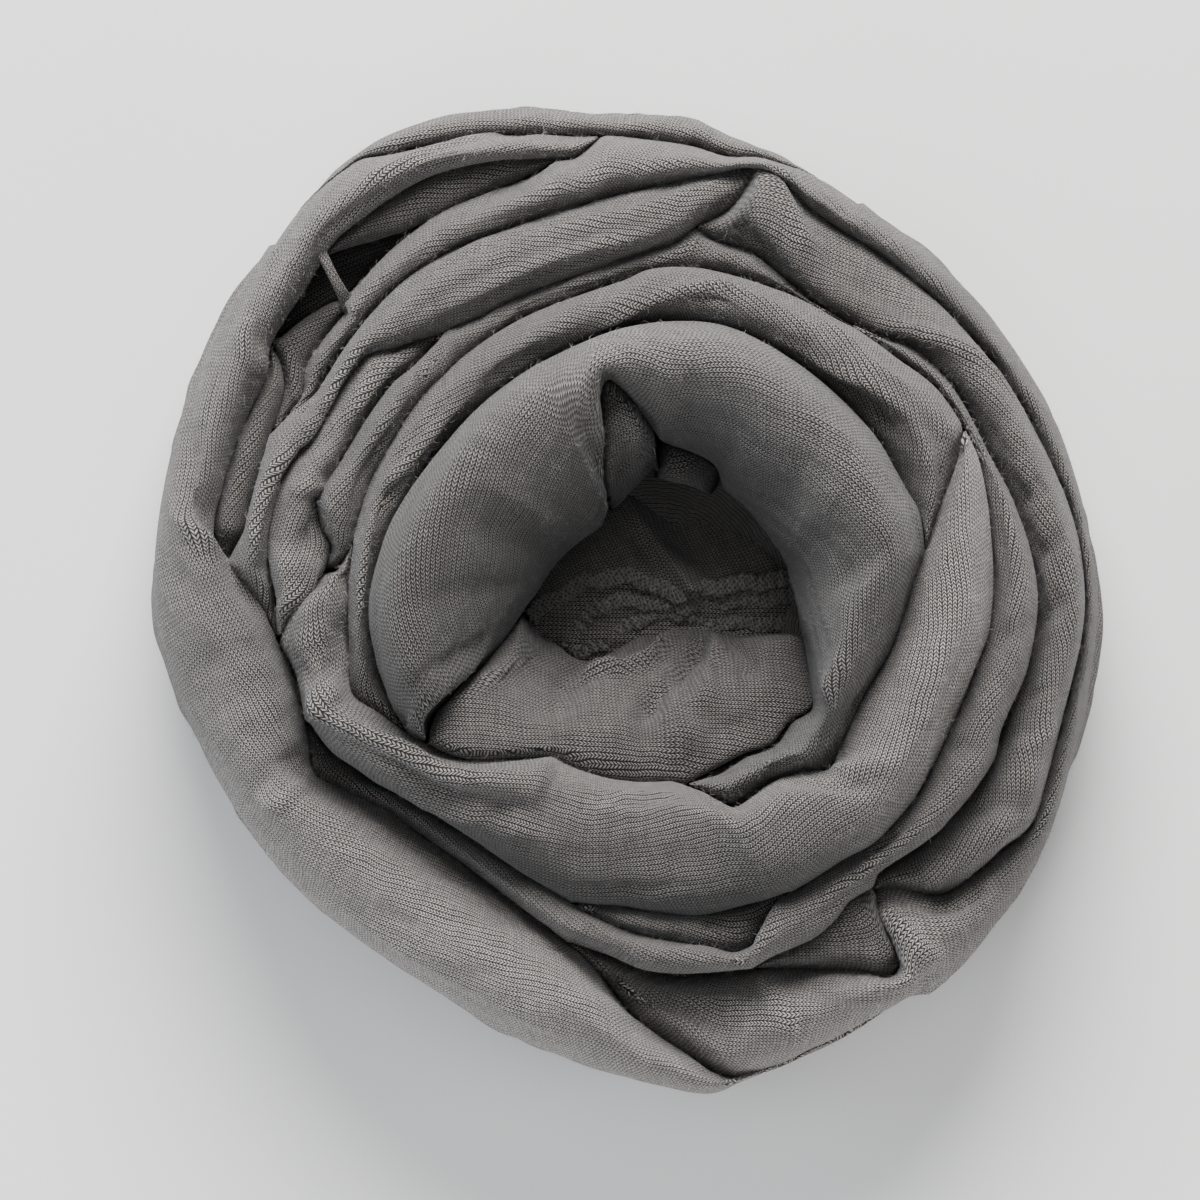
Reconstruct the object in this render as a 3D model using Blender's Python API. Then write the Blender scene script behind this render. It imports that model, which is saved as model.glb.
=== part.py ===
"""A plain jersey hijab, folded lengthwise into a band and coiled into a standing rosette.

The coil is seen best from straight above. Every stretch of the band that shows there is one wall
of cloth, arched over its fold, between two seams. A seam is where two neighbouring stretches dip
into the same crease. One rounded solid under them holds the layers that are hidden.

Frame: metres, +Z up. Azimuth 0 is +X and 90 is +Y, measured round the middle of the well. A
stretch that runs past 360 degrees keeps counting up, so the spiral can be read from the tables.
"""

import math

import bmesh
import bpy
import numpy as np
from mathutils import Vector

MM = 0.001

# Driving sizes, in millimetres.
WALL = 2.0
# Each side of a seam stays this far from it.
SEAM_GAP = 0.2
STEEPEST_GAP = 4.0
# Width over which a fold rounds down into a seam.
ROUNDING = 5.5
# The outer wraps are widest at this share of their height, and tuck in above the lowest layers.
WIDEST_AT = 0.42
FOOT_HEIGHT = 8.0
FOOT_TUCK = 5.0
FOOT_ANGLES = (45.0, 80.0)
# How far the walls stay above the hidden layers.
CORE_CLEARANCE = 1.8
# A stretch narrower than the first width is pressed flat, and one past the second is hollow.
PRESSED_WIDTH = 3.0
HOLLOW_WIDTH = 8.0
PRESSED_LIFT = 0.6

# The middle of the well, from the middle of the box round the whole rosette.
WELL_CENTRE = (4.01, 0.13)

# Azimuths of the sections, which lie closer where a fold turns sharply.
STEP_DEG = 7.5
CLOSE_STEP_DEG = 3.75
CLOSE_RANGES = ((15.0, 22.5), (75.0, 86.25), (97.5, 112.5), (168.75, 187.5), (195.0, 213.75),
                (262.5, 281.25), (285.0, 292.5), (300.0, 315.0), (322.5, 333.75))

# Outline of the rosette from above: azimuth_deg, radius_mm.
OUTLINE = (
    (0, 71.2), (20, 70.8), (45, 70.7), (60, 71.7), (75, 74.2), (80, 75.2), (85, 77.2),
    (95, 77.9), (105, 81.3), (115, 84.3), (122, 85.3), (130, 84.6), (140, 82.6), (150, 81.3),
    (165, 79.8), (180, 79.2), (190, 77.1), (200, 75.0), (215, 73.1), (237, 71.1), (245, 71.5),
    (255, 73.3), (265, 75.8), (272, 78.0), (277, 79.5), (281, 78.4), (295, 76.2), (310, 76.6),
    (320, 75.5), (340, 72.2), (350, 71.4),
)

# Depth of the creases: the height that hidden layers reach: radius_mm, height_mm.
HIDDEN_TOP = (
    (0, 14.0), (8, 14.0), (12, 15.0), (16, 17.5), (20, 21.0), (25, 26.5), (30, 32.0),
    (36, 37.0), (42, 39.0), (48, 38.0), (54, 35.0), (60, 31.0), (67, 26.0), (75, 21.0), (90, 16.0),
)

# One table for each stretch, outermost first: azimuth_deg, inner_mm, crest_mm, crest_share.
# inner_mm is the radius of its inner seam, and its outer seam is the inner one of whatever lies
# outside it. crest_share places the crest across it, 0 at the inner seam and 1 at the outer one.
OUTER_SLIVER = (
    (80, 71.6, 27, 0.5), (85, 73.0, 30, 0.5), (90, 73.6, 32, 0.5), (95, 74.4, 33, 0.5),
    (100, 75.4, 34, 0.5), (105, 77.0, 35, 0.5), (110, 78.8, 35, 0.5), (115, 80.4, 34, 0.5),
    (120, 81.6, 32, 0.5),
)
OUTER_LEFT = (
    (100, 71.0, 38, 0.5), (105, 73.0, 43, 0.5), (110, 74.7, 46, 0.5), (120, 76.5, 47, 0.5),
    (130, 76.5, 47, 0.5), (138, 74.2, 46, 0.5), (146, 73.1, 46, 0.45), (150, 70.9, 46, 0.5),
    (160, 70.7, 46, 0.5), (169, 70.9, 48, 0.35), (172.5, 70.3, 50, 0.2), (177.5, 66.0, 51, 0.2),
    (185, 60.5, 52, 0.2), (193, 57.9, 51, 0.3), (203, 59.2, 52, 0.35), (207, 60.8, 52, 0.35),
    (212, 57.6, 53, 0.35), (221, 53.1, 53, 0.35), (235, 51.7, 53, 0.4), (245, 52.8, 53, 0.4),
    (255, 55.7, 53, 0.4), (262, 60.2, 52, 0.4), (268, 67.2, 50, 0.4), (275, 73.2, 46, 0.5),
    (277.5, 76.2, 42, 0.5),
)
UNDER_FLAP_TOP = (
    (107.5, 69.8, 36, 0.6), (112.5, 70.6, 38, 0.6), (117.5, 71.6, 38, 0.6), (125, 73.2, 38, 0.6),
)
UNDER_FLAP_LEFT = (
    (147.5, 69.6, 36, 0.6), (150, 67.6, 38, 0.6), (155, 66.4, 39, 0.6), (165, 65.8, 40, 0.6),
    (170, 65.9, 40, 0.6), (172.5, 66.4, 38, 0.6),
)
UNDER_FLAP_EDGE = (
    (137.5, 66.8, 34, 0.5), (145, 66.6, 35, 0.5), (150, 64.4, 35, 0.5),
)
OUTER_RIGHT = (
    (262.5, 57.0, 40, 0.5), (270, 59.4, 43, 0.45), (285, 61.1, 45, 0.4), (295, 65.1, 46, 0.4),
    (300, 68.6, 47, 0.4), (304, 71.6, 47, 0.4), (306, 60.4, 47, 0.6), (308, 58.6, 46, 0.6),
    (312, 62.7, 45, 0.6), (315, 66.5, 43, 0.5), (325, 69.0, 41, 0.5), (330, 70.2, 40, 0.5),
    (335, 69.0, 40, 0.5), (345, 68.4, 39, 0.5), (360, 68.2, 39, 0.5), (370, 68.0, 39, 0.5),
    (385, 67.2, 41, 0.5), (405, 66.2, 43, 0.45), (422, 66.6, 45, 0.4), (428, 67.8, 46, 0.4),
    (435, 71.0, 47, 0.4), (441, 69.0, 48, 0.45), (450, 66.0, 48, 0.5), (460, 64.1, 48, 0.5),
    (470, 63.5, 47, 0.5), (485, 64.6, 46, 0.5), (500, 63.4, 42, 0.5), (507.5, 62.8, 37, 0.5),
)
Z_FOLD = (
    (290, 60.2, 34, 0.3), (295, 60.2, 37, 0.3), (300, 59.2, 40, 0.3), (304, 57.8, 42, 0.3),
)
THIRD_TOP = (
    (437.5, 65.6, 44, 0.4), (440, 62.5, 47, 0.5), (443, 60.2, 49, 0.5), (446, 57.2, 50, 0.5),
    (455, 54.7, 52, 0.45), (465, 53.1, 52, 0.5), (480, 52.8, 52, 0.5), (488, 54.2, 51, 0.5),
    (495, 57.2, 50, 0.5), (500, 60.0, 50, 0.4), (512, 59.8, 50, 0.3), (523, 62.0, 51, 0.3),
    (530, 62.0, 52, 0.3), (536, 61.0, 50, 0.4), (540, 59.8, 46, 0.4),
)
THIRD_RIGHT = (
    (310, 57.0, 42, 0.5), (320, 58.9, 46, 0.8), (330, 60.2, 48, 0.85), (335, 60.7, 48, 0.8),
    (340, 59.9, 47, 0.8), (350, 61.4, 47, 0.8), (360, 62.0, 47, 0.8), (375, 60.3, 48, 0.75),
    (390, 59.8, 49, 0.6), (403, 59.4, 49, 0.4), (410, 56.4, 48, 0.25), (420, 54.6, 47, 0.15),
    (428, 56.0, 48, 0.3), (435, 58.1, 49, 0.6), (440, 58.4, 45, 0.6),
)
FOURTH_LEFT = (
    (495, 53.6, 45, 0.7), (500, 54.0, 49, 0.6), (505, 53.8, 50, 0.5), (515, 54.1, 51, 0.4),
    (523, 55.7, 53, 0.3), (527, 54.1, 52, 0.4), (531, 51.6, 51, 0.6), (535, 52.4, 53, 0.6),
    (540, 56.0, 52, 0.5),
)
ROPE_UPPER = (
    (217.5, 51.0, 42, 0.6), (225, 48.6, 45, 0.6), (235, 47.6, 47, 0.6), (245, 48.2, 49, 0.6),
    (255, 49.9, 51, 0.5), (265, 52.6, 52, 0.4), (275, 55.0, 53, 0.4), (282.5, 56.8, 54, 0.4),
    (287.5, 54.4, 54, 0.5), (290, 51.4, 53, 0.5), (305, 51.7, 51, 0.55), (315, 52.9, 52, 0.6),
    (325, 52.8, 53, 0.7), (335, 52.3, 54, 0.75), (345, 52.8, 54, 0.75), (355, 54.4, 54, 0.75),
    (365, 55.0, 53, 0.7), (375, 56.0, 52, 0.6), (390, 56.4, 50, 0.5), (405, 55.4, 47, 0.5),
)
ROPE_LOWER = (
    (265, 49.2, 49, 0.5), (270, 49.9, 50, 0.5), (280, 51.0, 51, 0.5), (287.5, 51.0, 50, 0.5),
)
THIN_LAYERS = (
    (430, 53.6, 44, 0.5), (440, 53.6, 46, 0.5), (450, 52.8, 47, 0.5), (455, 51.2, 48, 0.5),
    (465, 49.9, 48, 0.5), (480, 49.3, 49, 0.5), (488, 49.1, 51, 0.5), (495, 49.0, 54, 0.5),
    (505, 48.6, 54, 0.5), (515, 48.6, 53, 0.5), (523, 48.5, 54, 0.6), (529, 48.5, 52, 0.5),
)
SECOND_LOWER = (
    (532.5, 48.2, 50, 0.5), (536, 48.3, 52, 0.5), (541, 48.3, 56, 0.85), (548, 48.4, 54, 0.5),
    (557, 50.0, 58, 0.8), (562.5, 47.0, 59, 0.7), (570, 43.7, 60, 0.5), (580, 39.4, 60, 0.35),
    (590, 33.1, 61, 0.25), (600, 29.4, 60, 0.2), (615, 29.3, 59, 0.2), (635, 29.1, 59, 0.2),
    (645, 31.7, 60, 0.2), (649, 34.0, 61, 0.2), (652.5, 35.9, 62, 0.25), (663, 35.0, 62, 0.3),
    (671, 36.6, 62, 0.35), (677, 39.4, 62, 0.4), (685, 38.0, 61, 0.6), (695, 37.4, 61, 0.7),
    (710, 39.6, 62, 0.65), (720, 41.3, 62, 0.6), (730, 44.8, 62, 0.5), (738.3, 46.0, 59, 0.5),
)
SECOND_UPPER = (
    (378.75, 45.4, 58, 0.6), (385, 44.4, 59, 0.6), (395, 44.6, 60, 0.5), (405, 44.4, 61, 0.5),
    (420, 44.7, 60, 0.5), (435, 45.5, 60, 0.5), (445, 44.8, 59, 0.5), (455, 43.8, 58, 0.5),
    (470, 42.1, 57, 0.5), (485, 41.4, 56, 0.5), (500, 41.2, 56, 0.5), (515, 42.1, 56, 0.5),
    (530, 43.9, 56, 0.5), (545, 45.1, 55, 0.5), (552.5, 44.6, 52, 0.5),
)
INNER_ROLL = (
    (290, 29.0, 53, 0.5), (300, 28.5, 56, 0.5), (311, 30.5, 59, 0.5), (319, 28.7, 61, 0.5),
    (326, 31.2, 64, 0.4), (333, 28.8, 66, 0.4), (341, 26.4, 67, 0.5), (355, 23.8, 69, 0.6),
    (375, 22.5, 71, 0.75), (395, 21.3, 72, 0.8), (415, 21.3, 72, 0.8), (425, 24.0, 73, 0.8),
    (445, 25.3, 73, 0.75), (451, 29.0, 73, 0.7), (457.5, 34.0, 73, 0.5), (461, 35.2, 73, 0.4),
    (465, 30.2, 72, 0.6), (470, 24.5, 72, 0.75), (476, 16.4, 72, 0.85), (485, 14.1, 72, 0.87),
    (500, 14.6, 72, 0.87), (520, 16.2, 72, 0.87), (535, 17.9, 72, 0.87), (545, 20.4, 72, 0.85),
    (555, 24.0, 71, 0.8), (561, 28.0, 69, 0.7), (565, 32.0, 66, 0.6), (567.5, 36.5, 62, 0.5),
)
WELL_STRIP = (
    (422.5, 18.8, 26, 0.4), (430, 19.8, 30, 0.4), (437.5, 19.4, 31, 0.4), (445, 19.4, 30, 0.4),
)
WELL_POCKET = (
    (447.5, 20.6, 37, 0.5), (455, 20.0, 44, 0.5), (461, 17.4, 47, 0.4), (467.5, 16.0, 41, 0.4),
    (470, 15.6, 35, 0.4),
)
WELL_WALL = (
    (190, 18.0, 43, 0.6), (200, 17.2, 49, 0.6), (207.5, 16.6, 57, 0.85), (215, 16.0, 59, 0.9),
    (225, 15.2, 57, 0.9), (235, 13.6, 55, 0.9), (245, 12.2, 53, 0.85), (260, 11.0, 51, 0.8),
    (275, 10.4, 49, 0.75), (290, 10.8, 47, 0.7), (305, 12.5, 45, 0.7), (320, 14.5, 43, 0.7),
    (327, 16.4, 41, 0.7), (333.75, 18.6, 38, 0.7),
)
# Open clefts between stretches, where only the hidden layers show: azimuth_deg, inner_mm.
TOP_CLEFT = (
    (117.5, 71.0), (125, 69.8), (135, 68.9), (137.5, 70.0), (145, 72.6),
)
LEFT_CLEFT = (
    (200, 57.8), (205, 56.6), (210, 54.1), (215, 52.6),
)
TOP_NOTCH = (
    (405, 55.4), (412.5, 54.4), (427.5, 54.0),
)

# Every stretch and cleft, outermost first: name, table, inner_drop_mm, outer_drop_mm, outside.
# The drops are how far the roof falls from its crest to the inner and the outer shoulder. A
# stretch that is outside somewhere has a side that runs down to the foot there.
STRETCHES = (
    ("outer_sliver", OUTER_SLIVER, 2.0, 4.0, True),
    ("outer_wrap_left", OUTER_LEFT, 4.0, 9.0, True),
    ("under_flap_top", UNDER_FLAP_TOP, 2.0, 2.0, False),
    ("top_cleft", TOP_CLEFT, 0.0, 0.0, False),
    ("under_flap_left", UNDER_FLAP_LEFT, 2.0, 2.0, False),
    ("under_flap_edge", UNDER_FLAP_EDGE, 2.0, 2.0, False),
    ("outer_wrap_right", OUTER_RIGHT, 4.0, 7.0, True),
    ("z_fold", Z_FOLD, 1.0, 8.0, False),
    ("third_wrap_top", THIRD_TOP, 3.0, 5.0, False),
    ("third_wrap_right", THIRD_RIGHT, 5.0, 4.0, False),
    ("fourth_wrap_left", FOURTH_LEFT, 3.0, 4.0, False),
    ("left_cleft", LEFT_CLEFT, 0.0, 0.0, False),
    ("rope_fold_upper", ROPE_UPPER, 4.0, 4.0, False),
    ("rope_fold_lower", ROPE_LOWER, 2.0, 2.0, False),
    ("top_notch", TOP_NOTCH, 0.0, 0.0, False),
    ("thin_layers", THIN_LAYERS, 3.0, 4.0, False),
    ("second_ring_lower", SECOND_LOWER, 4.0, 9.0, False),
    ("second_ring_upper", SECOND_UPPER, 5.0, 4.0, False),
    ("inner_roll", INNER_ROLL, 26.0, 7.0, False),
    ("well_strip", WELL_STRIP, 2.0, 1.0, False),
    ("well_pocket", WELL_POCKET, 14.0, 3.0, False),
    ("well_wall", WELL_WALL, 27.0, 3.0, False),
)

# These get more points across than the others.
WIDE_STRETCHES = ("outer_wrap_left", "inner_roll", "well_wall", "second_ring_lower")
# These run on to their last row, between two shared azimuths, and butt against the next stretch.
BUTTED = ("second_ring_lower",)

# The layers at the foot, under the outer wraps: inset_mm from the outline, height_mm.
FOOT_LAYERS = ((7.6, 7.0), (3.0, 7.0), (2.4, 5.6), (4.6, 4.2), (2.8, 2.8), (3.4, 1.2), (6.0, 0.0))
# The hidden layers fill the side of the outer wraps, and rise into a wrap that is wide enough.
FILL_SIDE_INSETS = (7.2, 7.6)
FILL_FROM_WIDTH = 12.5
FILL_FULL_WIDTH = 15.0
FILL_MIDDLE = 0.45
FILL_SHOULDER_INSET = 7.0
FILL_SHARES = (0.8, 0.7)
# Where they start: past the inner leg of a wide wrap, or this far inside the outline.
LEG_ROOM = 3.6
LEG_INSET = 12.0

# The raw inner end of the band, lying across the well: x_mm and y_mm from the middle of the
# well, and z_mm, the height of its middle line. It leans by the tilt on either side.
INNER_END = (
    (-14.6, 2.6, 19.9), (-12.2, 2.0, 20.5), (-9.4, 0.6, 21.0), (-6.2, -1.4, 21.0),
    (-3.0, -2.6, 21.0), (0.0, -1.6, 21.0), (2.6, -2.8, 21.5), (5.4, -3.8, 22.0),
    (8.6, -2.4, 22.0), (11.8, -1.4, 22.0), (15.0, -1.8, 22.0), (17.4, -2.8, 22.5),
)
INNER_END_WIDTH = 5.5
INNER_END_TILT = 1.6

# The narrow fold of cloth that crosses the top cleft, low at its inner end.
STRAND_AZIMUTH = 135.0
STRAND_RADII = (69.1, 74.9)
STRAND_HEIGHTS = (39.0, 42.0)
STRAND_WIDTH = 1.6

CLOTH_COLOUR = (0.235, 0.215, 0.205, 1.0)
CORE_COLOUR = (0.075, 0.070, 0.068, 1.0)


def tangents(xs, ys):
    """Slopes at the rows of a table, such that the curve never overshoots a row."""
    slopes = np.diff(ys) / np.diff(xs)
    middle = np.where(slopes[:-1] * slopes[1:] > 0,
                      2.0 * slopes[:-1] * slopes[1:] / (slopes[:-1] + slopes[1:] + 1e-12), 0.0)
    return np.concatenate(([slopes[0]], middle, [slopes[-1]]))


def smooth(table, column, x):
    """Value of one column of a table at x, on a smooth curve through its rows."""
    xs = np.array([row[0] for row in table], dtype=float)
    ys = np.array([row[column] for row in table], dtype=float)
    x = min(max(x, xs[0]), xs[-1])
    i = min(int(np.searchsorted(xs, x, side="right")) - 1, len(xs) - 2)
    width = xs[i + 1] - xs[i]
    t = (x - xs[i]) / width
    slope = tangents(xs, ys)
    return float(ys[i] * (1 + 2 * t) * (1 - t) ** 2 + slope[i] * width * t * (1 - t) ** 2
                 + ys[i + 1] * t * t * (3 - 2 * t) - slope[i + 1] * width * t * t * (1 - t))


def closed_table(table):
    """The table with rows added before and after, so that it runs once more round the circle."""
    before = tuple((row[0] - 360.0,) + row[1:] for row in table[-3:])
    after = tuple((row[0] + 360.0,) + row[1:] for row in table[:3])
    return before + table + after


CLOSED_OUTLINE = closed_table(OUTLINE)
# Whole turns that an azimuth may be counted up by, to be found in a table.
TURNS = (-720.0, -360.0, 0.0, 360.0, 720.0)


def outline_radius(azimuth):
    return smooth(CLOSED_OUTLINE, 1, azimuth % 360.0)


def hidden_top(radius):
    """Height of the hidden layers, straight between the rows, as the core's faces are."""
    return float(np.interp(radius, [row[0] for row in HIDDEN_TOP], [row[1] for row in HIDDEN_TOP]))


def on_table(table, azimuth):
    """The azimuth counted the way the table counts it, or None where the stretch isn't."""
    for turn in TURNS:
        if table[0][0] - 1e-6 <= azimuth + turn <= table[-1][0] + 1e-6:
            return azimuth + turn
    return None


def grid_azimuths():
    """One turn of azimuths shared by all pieces, so that their facets meet along the seams."""
    found = set(np.arange(0.0, 360.0, STEP_DEG))
    for start, end in CLOSE_RANGES:
        found.update(np.arange(start, end + 0.01, CLOSE_STEP_DEG))
    return sorted(float(value) for value in found)


GRID = grid_azimuths()


def outer_seam(order, azimuth):
    """Radius of the seam outside a stretch, and whether it is the rosette's own outline."""
    radius = outline_radius(azimuth)
    on_outline = True
    for _, table, _, _, _ in STRETCHES[:order]:
        there = on_table(table, azimuth)
        if there is None:
            continue
        inner = smooth(table, 1, there)
        if inner < radius:
            radius = inner
            on_outline = False
    return radius, on_outline


def seam_gap(order, azimuth, side):
    """Half the gap at a seam, widened where the seam runs steeply across the azimuths."""
    nearby = (azimuth - 1.25, azimuth, azimuth + 1.25)
    if side == "outer":
        behind, radius, ahead = [outer_seam(order, value)[0] for value in nearby]
    else:
        table = STRETCHES[order][1]
        turn = on_table(table, azimuth) - azimuth
        behind, radius, ahead = [smooth(table, 1, value + turn) for value in nearby]
    slope = (ahead - behind) / (math.radians(nearby[2] - nearby[0]) * radius)
    return SEAM_GAP * min(math.hypot(1.0, slope), STEEPEST_GAP)


def roof(share, crest, crest_share, inner_drop, outer_drop):
    """Height of the cloth across a stretch, before its sides turn down into the seams."""
    if share < crest_share:
        return crest - inner_drop * (1.0 - share / crest_share) ** 2
    return crest - outer_drop * ((share - crest_share) / (1.0 - crest_share)) ** 2


def side_fall(distance, rounding):
    """From 0 at the seam to 1 where the side has turned into the roof, a quarter of an ellipse."""
    x = min(max(distance / rounding, 0.0), 1.0)
    return math.sqrt(1.0 - (1.0 - x) ** 2)


def quarter_stops(width, rounding, angles):
    """Distances from the inner seam at which a section has its points."""
    near = [rounding * (1.0 - math.cos(math.radians(angle))) for angle in angles]
    return near + [width - distance for distance in reversed(near)]


def section(order, azimuth):
    """The closed ring of a wall at one azimuth, as (radius, height) in millimetres."""
    name, table, inner_drop, outer_drop, outside = STRETCHES[order]
    there = on_table(table, azimuth)
    crest = smooth(table, 2, there)
    crest_share = smooth(table, 3, there)
    outer, on_outline = outer_seam(order, azimuth)
    if not on_outline:
        outer -= seam_gap(order, azimuth, "outer")
    inner = smooth(table, 1, there) + seam_gap(order, azimuth, "inner")
    width = outer - inner
    pressed = min(max((HOLLOW_WIDTH - width) / (HOLLOW_WIDTH - PRESSED_WIDTH), 0.0), 1.0)
    widest = WIDEST_AT * crest if outside and on_outline else None

    def line(wall, lift, angles, middle):
        """One side of the wall: the outer one, or the one that faces the hidden layers."""
        span = width - 2.0 * wall
        rounding = min(ROUNDING - 0.5 * wall, 0.45 * span)
        stops = quarter_stops(span, rounding, angles)
        half = len(stops) // 2
        stops[half:half] = [span * share for share in middle]
        points = []
        for place, stop in enumerate(stops):
            radius = inner + wall + stop
            share = (radius - inner) / width
            base = hidden_top(radius) + CORE_CLEARANCE
            if widest is not None and place >= half:
                base = widest
            elif outside and place >= half:
                base += 2.0 * CORE_CLEARANCE
            top = roof(share, crest, crest_share, inner_drop, outer_drop) - lift
            top = max(top, base + 1.0)
            fall = side_fall(stop, rounding) * side_fall(span - stop, rounding)
            points.append((radius, base + (top - base) * fall))
        if outside:
            side = inner + wall + span
            for angle in FOOT_ANGLES:
                if widest is None:
                    seam_base = hidden_top(side) + CORE_CLEARANCE
                    height = seam_base + 2.0 * CORE_CLEARANCE * (1.0 - angle / FOOT_ANGLES[-1])
                    points.append((side, height))
                else:
                    turn = math.radians(angle)
                    share_down = math.sin(turn) / math.sin(math.radians(FOOT_ANGLES[-1]))
                    points.append((side - FOOT_TUCK * (1.0 - math.cos(turn)),
                                   widest - (widest - FOOT_HEIGHT) * share_down))
        return points

    wide = name in WIDE_STRETCHES
    outer_line = line(0.0, 0.0, (0.0, 30.0, 60.0, 90.0) if wide else (0.0, 40.0, 90.0),
                      (0.35, 0.62) if wide else (0.5,))
    wall = min(WALL, 0.3 * width)
    depth = crest - hidden_top(outer) - WALL - 2.0 * CORE_CLEARANCE
    inner_line = line(wall, WALL + pressed * PRESSED_LIFT * depth, (0.0, 60.0), (0.5,))
    return outer_line + inner_line[::-1]


def at(azimuth, radius, height):
    """A point in metres from its azimuth, radius and height round the well."""
    turn = math.radians(azimuth)
    return Vector(((WELL_CENTRE[0] + radius * math.cos(turn)) * MM,
                   (WELL_CENTRE[1] + radius * math.sin(turn)) * MM, height * MM))


def make_object(name, bm, material):
    """Closes the mesh with its faces out, shades it and links it."""
    bmesh.ops.recalc_face_normals(bm, faces=bm.faces[:])
    if bm.calc_volume(signed=True) < 0.0:
        bmesh.ops.reverse_faces(bm, faces=bm.faces[:])
    mesh = bpy.data.meshes.new(name)
    bm.to_mesh(mesh)
    bm.free()
    mesh.materials.append(material)
    mesh.shade_smooth()
    thing = bpy.data.objects.new(name, mesh)
    bpy.context.scene.collection.objects.link(thing)
    return thing


def loft(name, rings, material):
    """A solid through rings of equally many points, with flat ends."""
    bm = bmesh.new()
    rows = [[bm.verts.new(point) for point in ring] for ring in rings]
    for first, second in zip(rows, rows[1:]):
        for i in range(len(first)):
            j = (i + 1) % len(first)
            bm.faces.new((first[i], first[j], second[j], second[i]))
    bm.faces.new(rows[0])
    bm.faces.new(rows[-1])
    return make_object(name, bm, material)


def stretch_azimuths(name, table):
    """The shared azimuths that lie on a stretch, counted the way its table counts them."""
    found = []
    for turn in TURNS:
        found += [value + turn for value in GRID if on_table(table, value) == value + turn]
    if name in BUTTED:
        found.append(table[-1][0])
    return found


def make_stretch(order, material):
    name, table = STRETCHES[order][:2]
    rings = []
    for azimuth in stretch_azimuths(name, table):
        ring = section(order, azimuth)
        rings.append([at(azimuth, radius, height) for radius, height in ring])
    return loft(name, rings, material)


def outermost(azimuth):
    """The table row of the outermost wrap at an azimuth, and its drops, as the sections use them."""
    for _, table, inner_drop, outer_drop, outside in STRETCHES:
        there = on_table(table, azimuth)
        if outside and there is not None:
            return [smooth(table, column, there) for column in (1, 2, 3)] + [inner_drop, outer_drop]
    return None


def fill(azimuth):
    """Outline of the hidden layers under the outermost wrap, from its inner leg to the foot."""
    edge = outline_radius(azimuth)
    crest, *shape = outermost(azimuth)[1:]
    # Where the seam moves quickly, the facets on either side need room as well.
    seam = max(outermost(azimuth + turn)[0] for turn in (-STEP_DEG, 0.0, STEP_DEG))
    width = edge - seam
    full = min(max((width - FILL_FROM_WIDTH) / (FILL_FULL_WIDTH - FILL_FROM_WIDTH), 0.0), 1.0)
    leg = seam + LEG_ROOM if full > 0.0 else edge - LEG_INSET
    shoulder = edge - FILL_SHOULDER_INSET
    middle = seam + FILL_MIDDLE * width if full > 0.0 else 0.5 * (leg + shoulder)
    points = [(leg, hidden_top(leg))]
    for radius, share in zip((middle, shoulder), FILL_SHARES):
        low = hidden_top(radius)
        under = roof((radius - seam) / width, crest, *shape) - WALL - 2.0 * CORE_CLEARANCE
        points.append((radius, low + full * share * (under - low)))
    widest = WIDEST_AT * crest
    low_side = 0.5 * (widest + FOOT_HEIGHT) - CORE_CLEARANCE
    points += [(edge - inset, height) for inset, height in zip(FILL_SIDE_INSETS, (widest, low_side))]
    return points + [(edge - inset, height) for inset, height in FOOT_LAYERS]


def make_core(material):
    """The hidden layers: a rounded body with an open well, layered round its foot."""
    bm = bmesh.new()
    narrowest = min(fill(azimuth)[0][0] for azimuth in GRID)
    top = [row for row in HIDDEN_TOP if 0.0 < row[0] < narrowest]
    rows = []
    for azimuth in GRID:
        rows.append([bm.verts.new(at(azimuth, *point)) for point in top + fill(azimuth)])
    middle = bm.verts.new(at(0.0, 0.0, hidden_top(0.0)))
    for first, second in zip(rows, rows[1:] + rows[:1]):
        bm.faces.new((middle, first[0], second[0]))
        for i in range(len(first) - 1):
            bm.faces.new((first[i], first[i + 1], second[i + 1], second[i]))
    bm.faces.new([row[-1] for row in rows])
    return make_object("hidden_layers", bm, material)


def make_inner_end(material):
    """The serged end of the cloth, a wavy ribbon that leans in the well."""
    rings = []
    points = [Vector(row) for row in INNER_END]
    for i, point in enumerate(points):
        ahead = points[min(i + 1, len(points) - 1)] - points[max(i - 1, 0)]
        across = Vector((-ahead.y, ahead.x, 0.0)).normalized()
        ring = []
        half = 0.5 * INNER_END_WIDTH
        for side, height in ((-1, -0.5 * WALL), (-1, 0.5 * WALL), (0, 0.6 * WALL),
                             (1, 0.5 * WALL), (1, -0.5 * WALL), (0, -0.4 * WALL)):
            shift = across * (side * half)
            lean = side * INNER_END_TILT
            ring.append(Vector(((WELL_CENTRE[0] + point.x + shift.x) * MM,
                                (WELL_CENTRE[1] + point.y + shift.y) * MM,
                                (point.z + height + lean) * MM)))
        rings.append(ring)
    return loft("inner_end", rings, material)


def make_strand(material):
    """The narrow fold of cloth that crosses the top cleft."""
    rings = []
    for radius, height in zip(STRAND_RADII, STRAND_HEIGHTS):
        half = math.degrees(0.5 * STRAND_WIDTH / radius)
        rings.append([at(STRAND_AZIMUTH - half, radius, height - WALL),
                      at(STRAND_AZIMUTH - half, radius, height),
                      at(STRAND_AZIMUTH + half, radius, height),
                      at(STRAND_AZIMUTH + half, radius, height - WALL)])
    return loft("cleft_strand", rings, material)


def make_material(name, colour):
    material = bpy.data.materials.new(name)
    material.use_nodes = True
    shader = material.node_tree.nodes["Principled BSDF"]
    shader.inputs["Base Color"].default_value = colour
    shader.inputs["Roughness"].default_value = 0.95
    shader.inputs["Metallic"].default_value = 0.0
    return material


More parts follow.
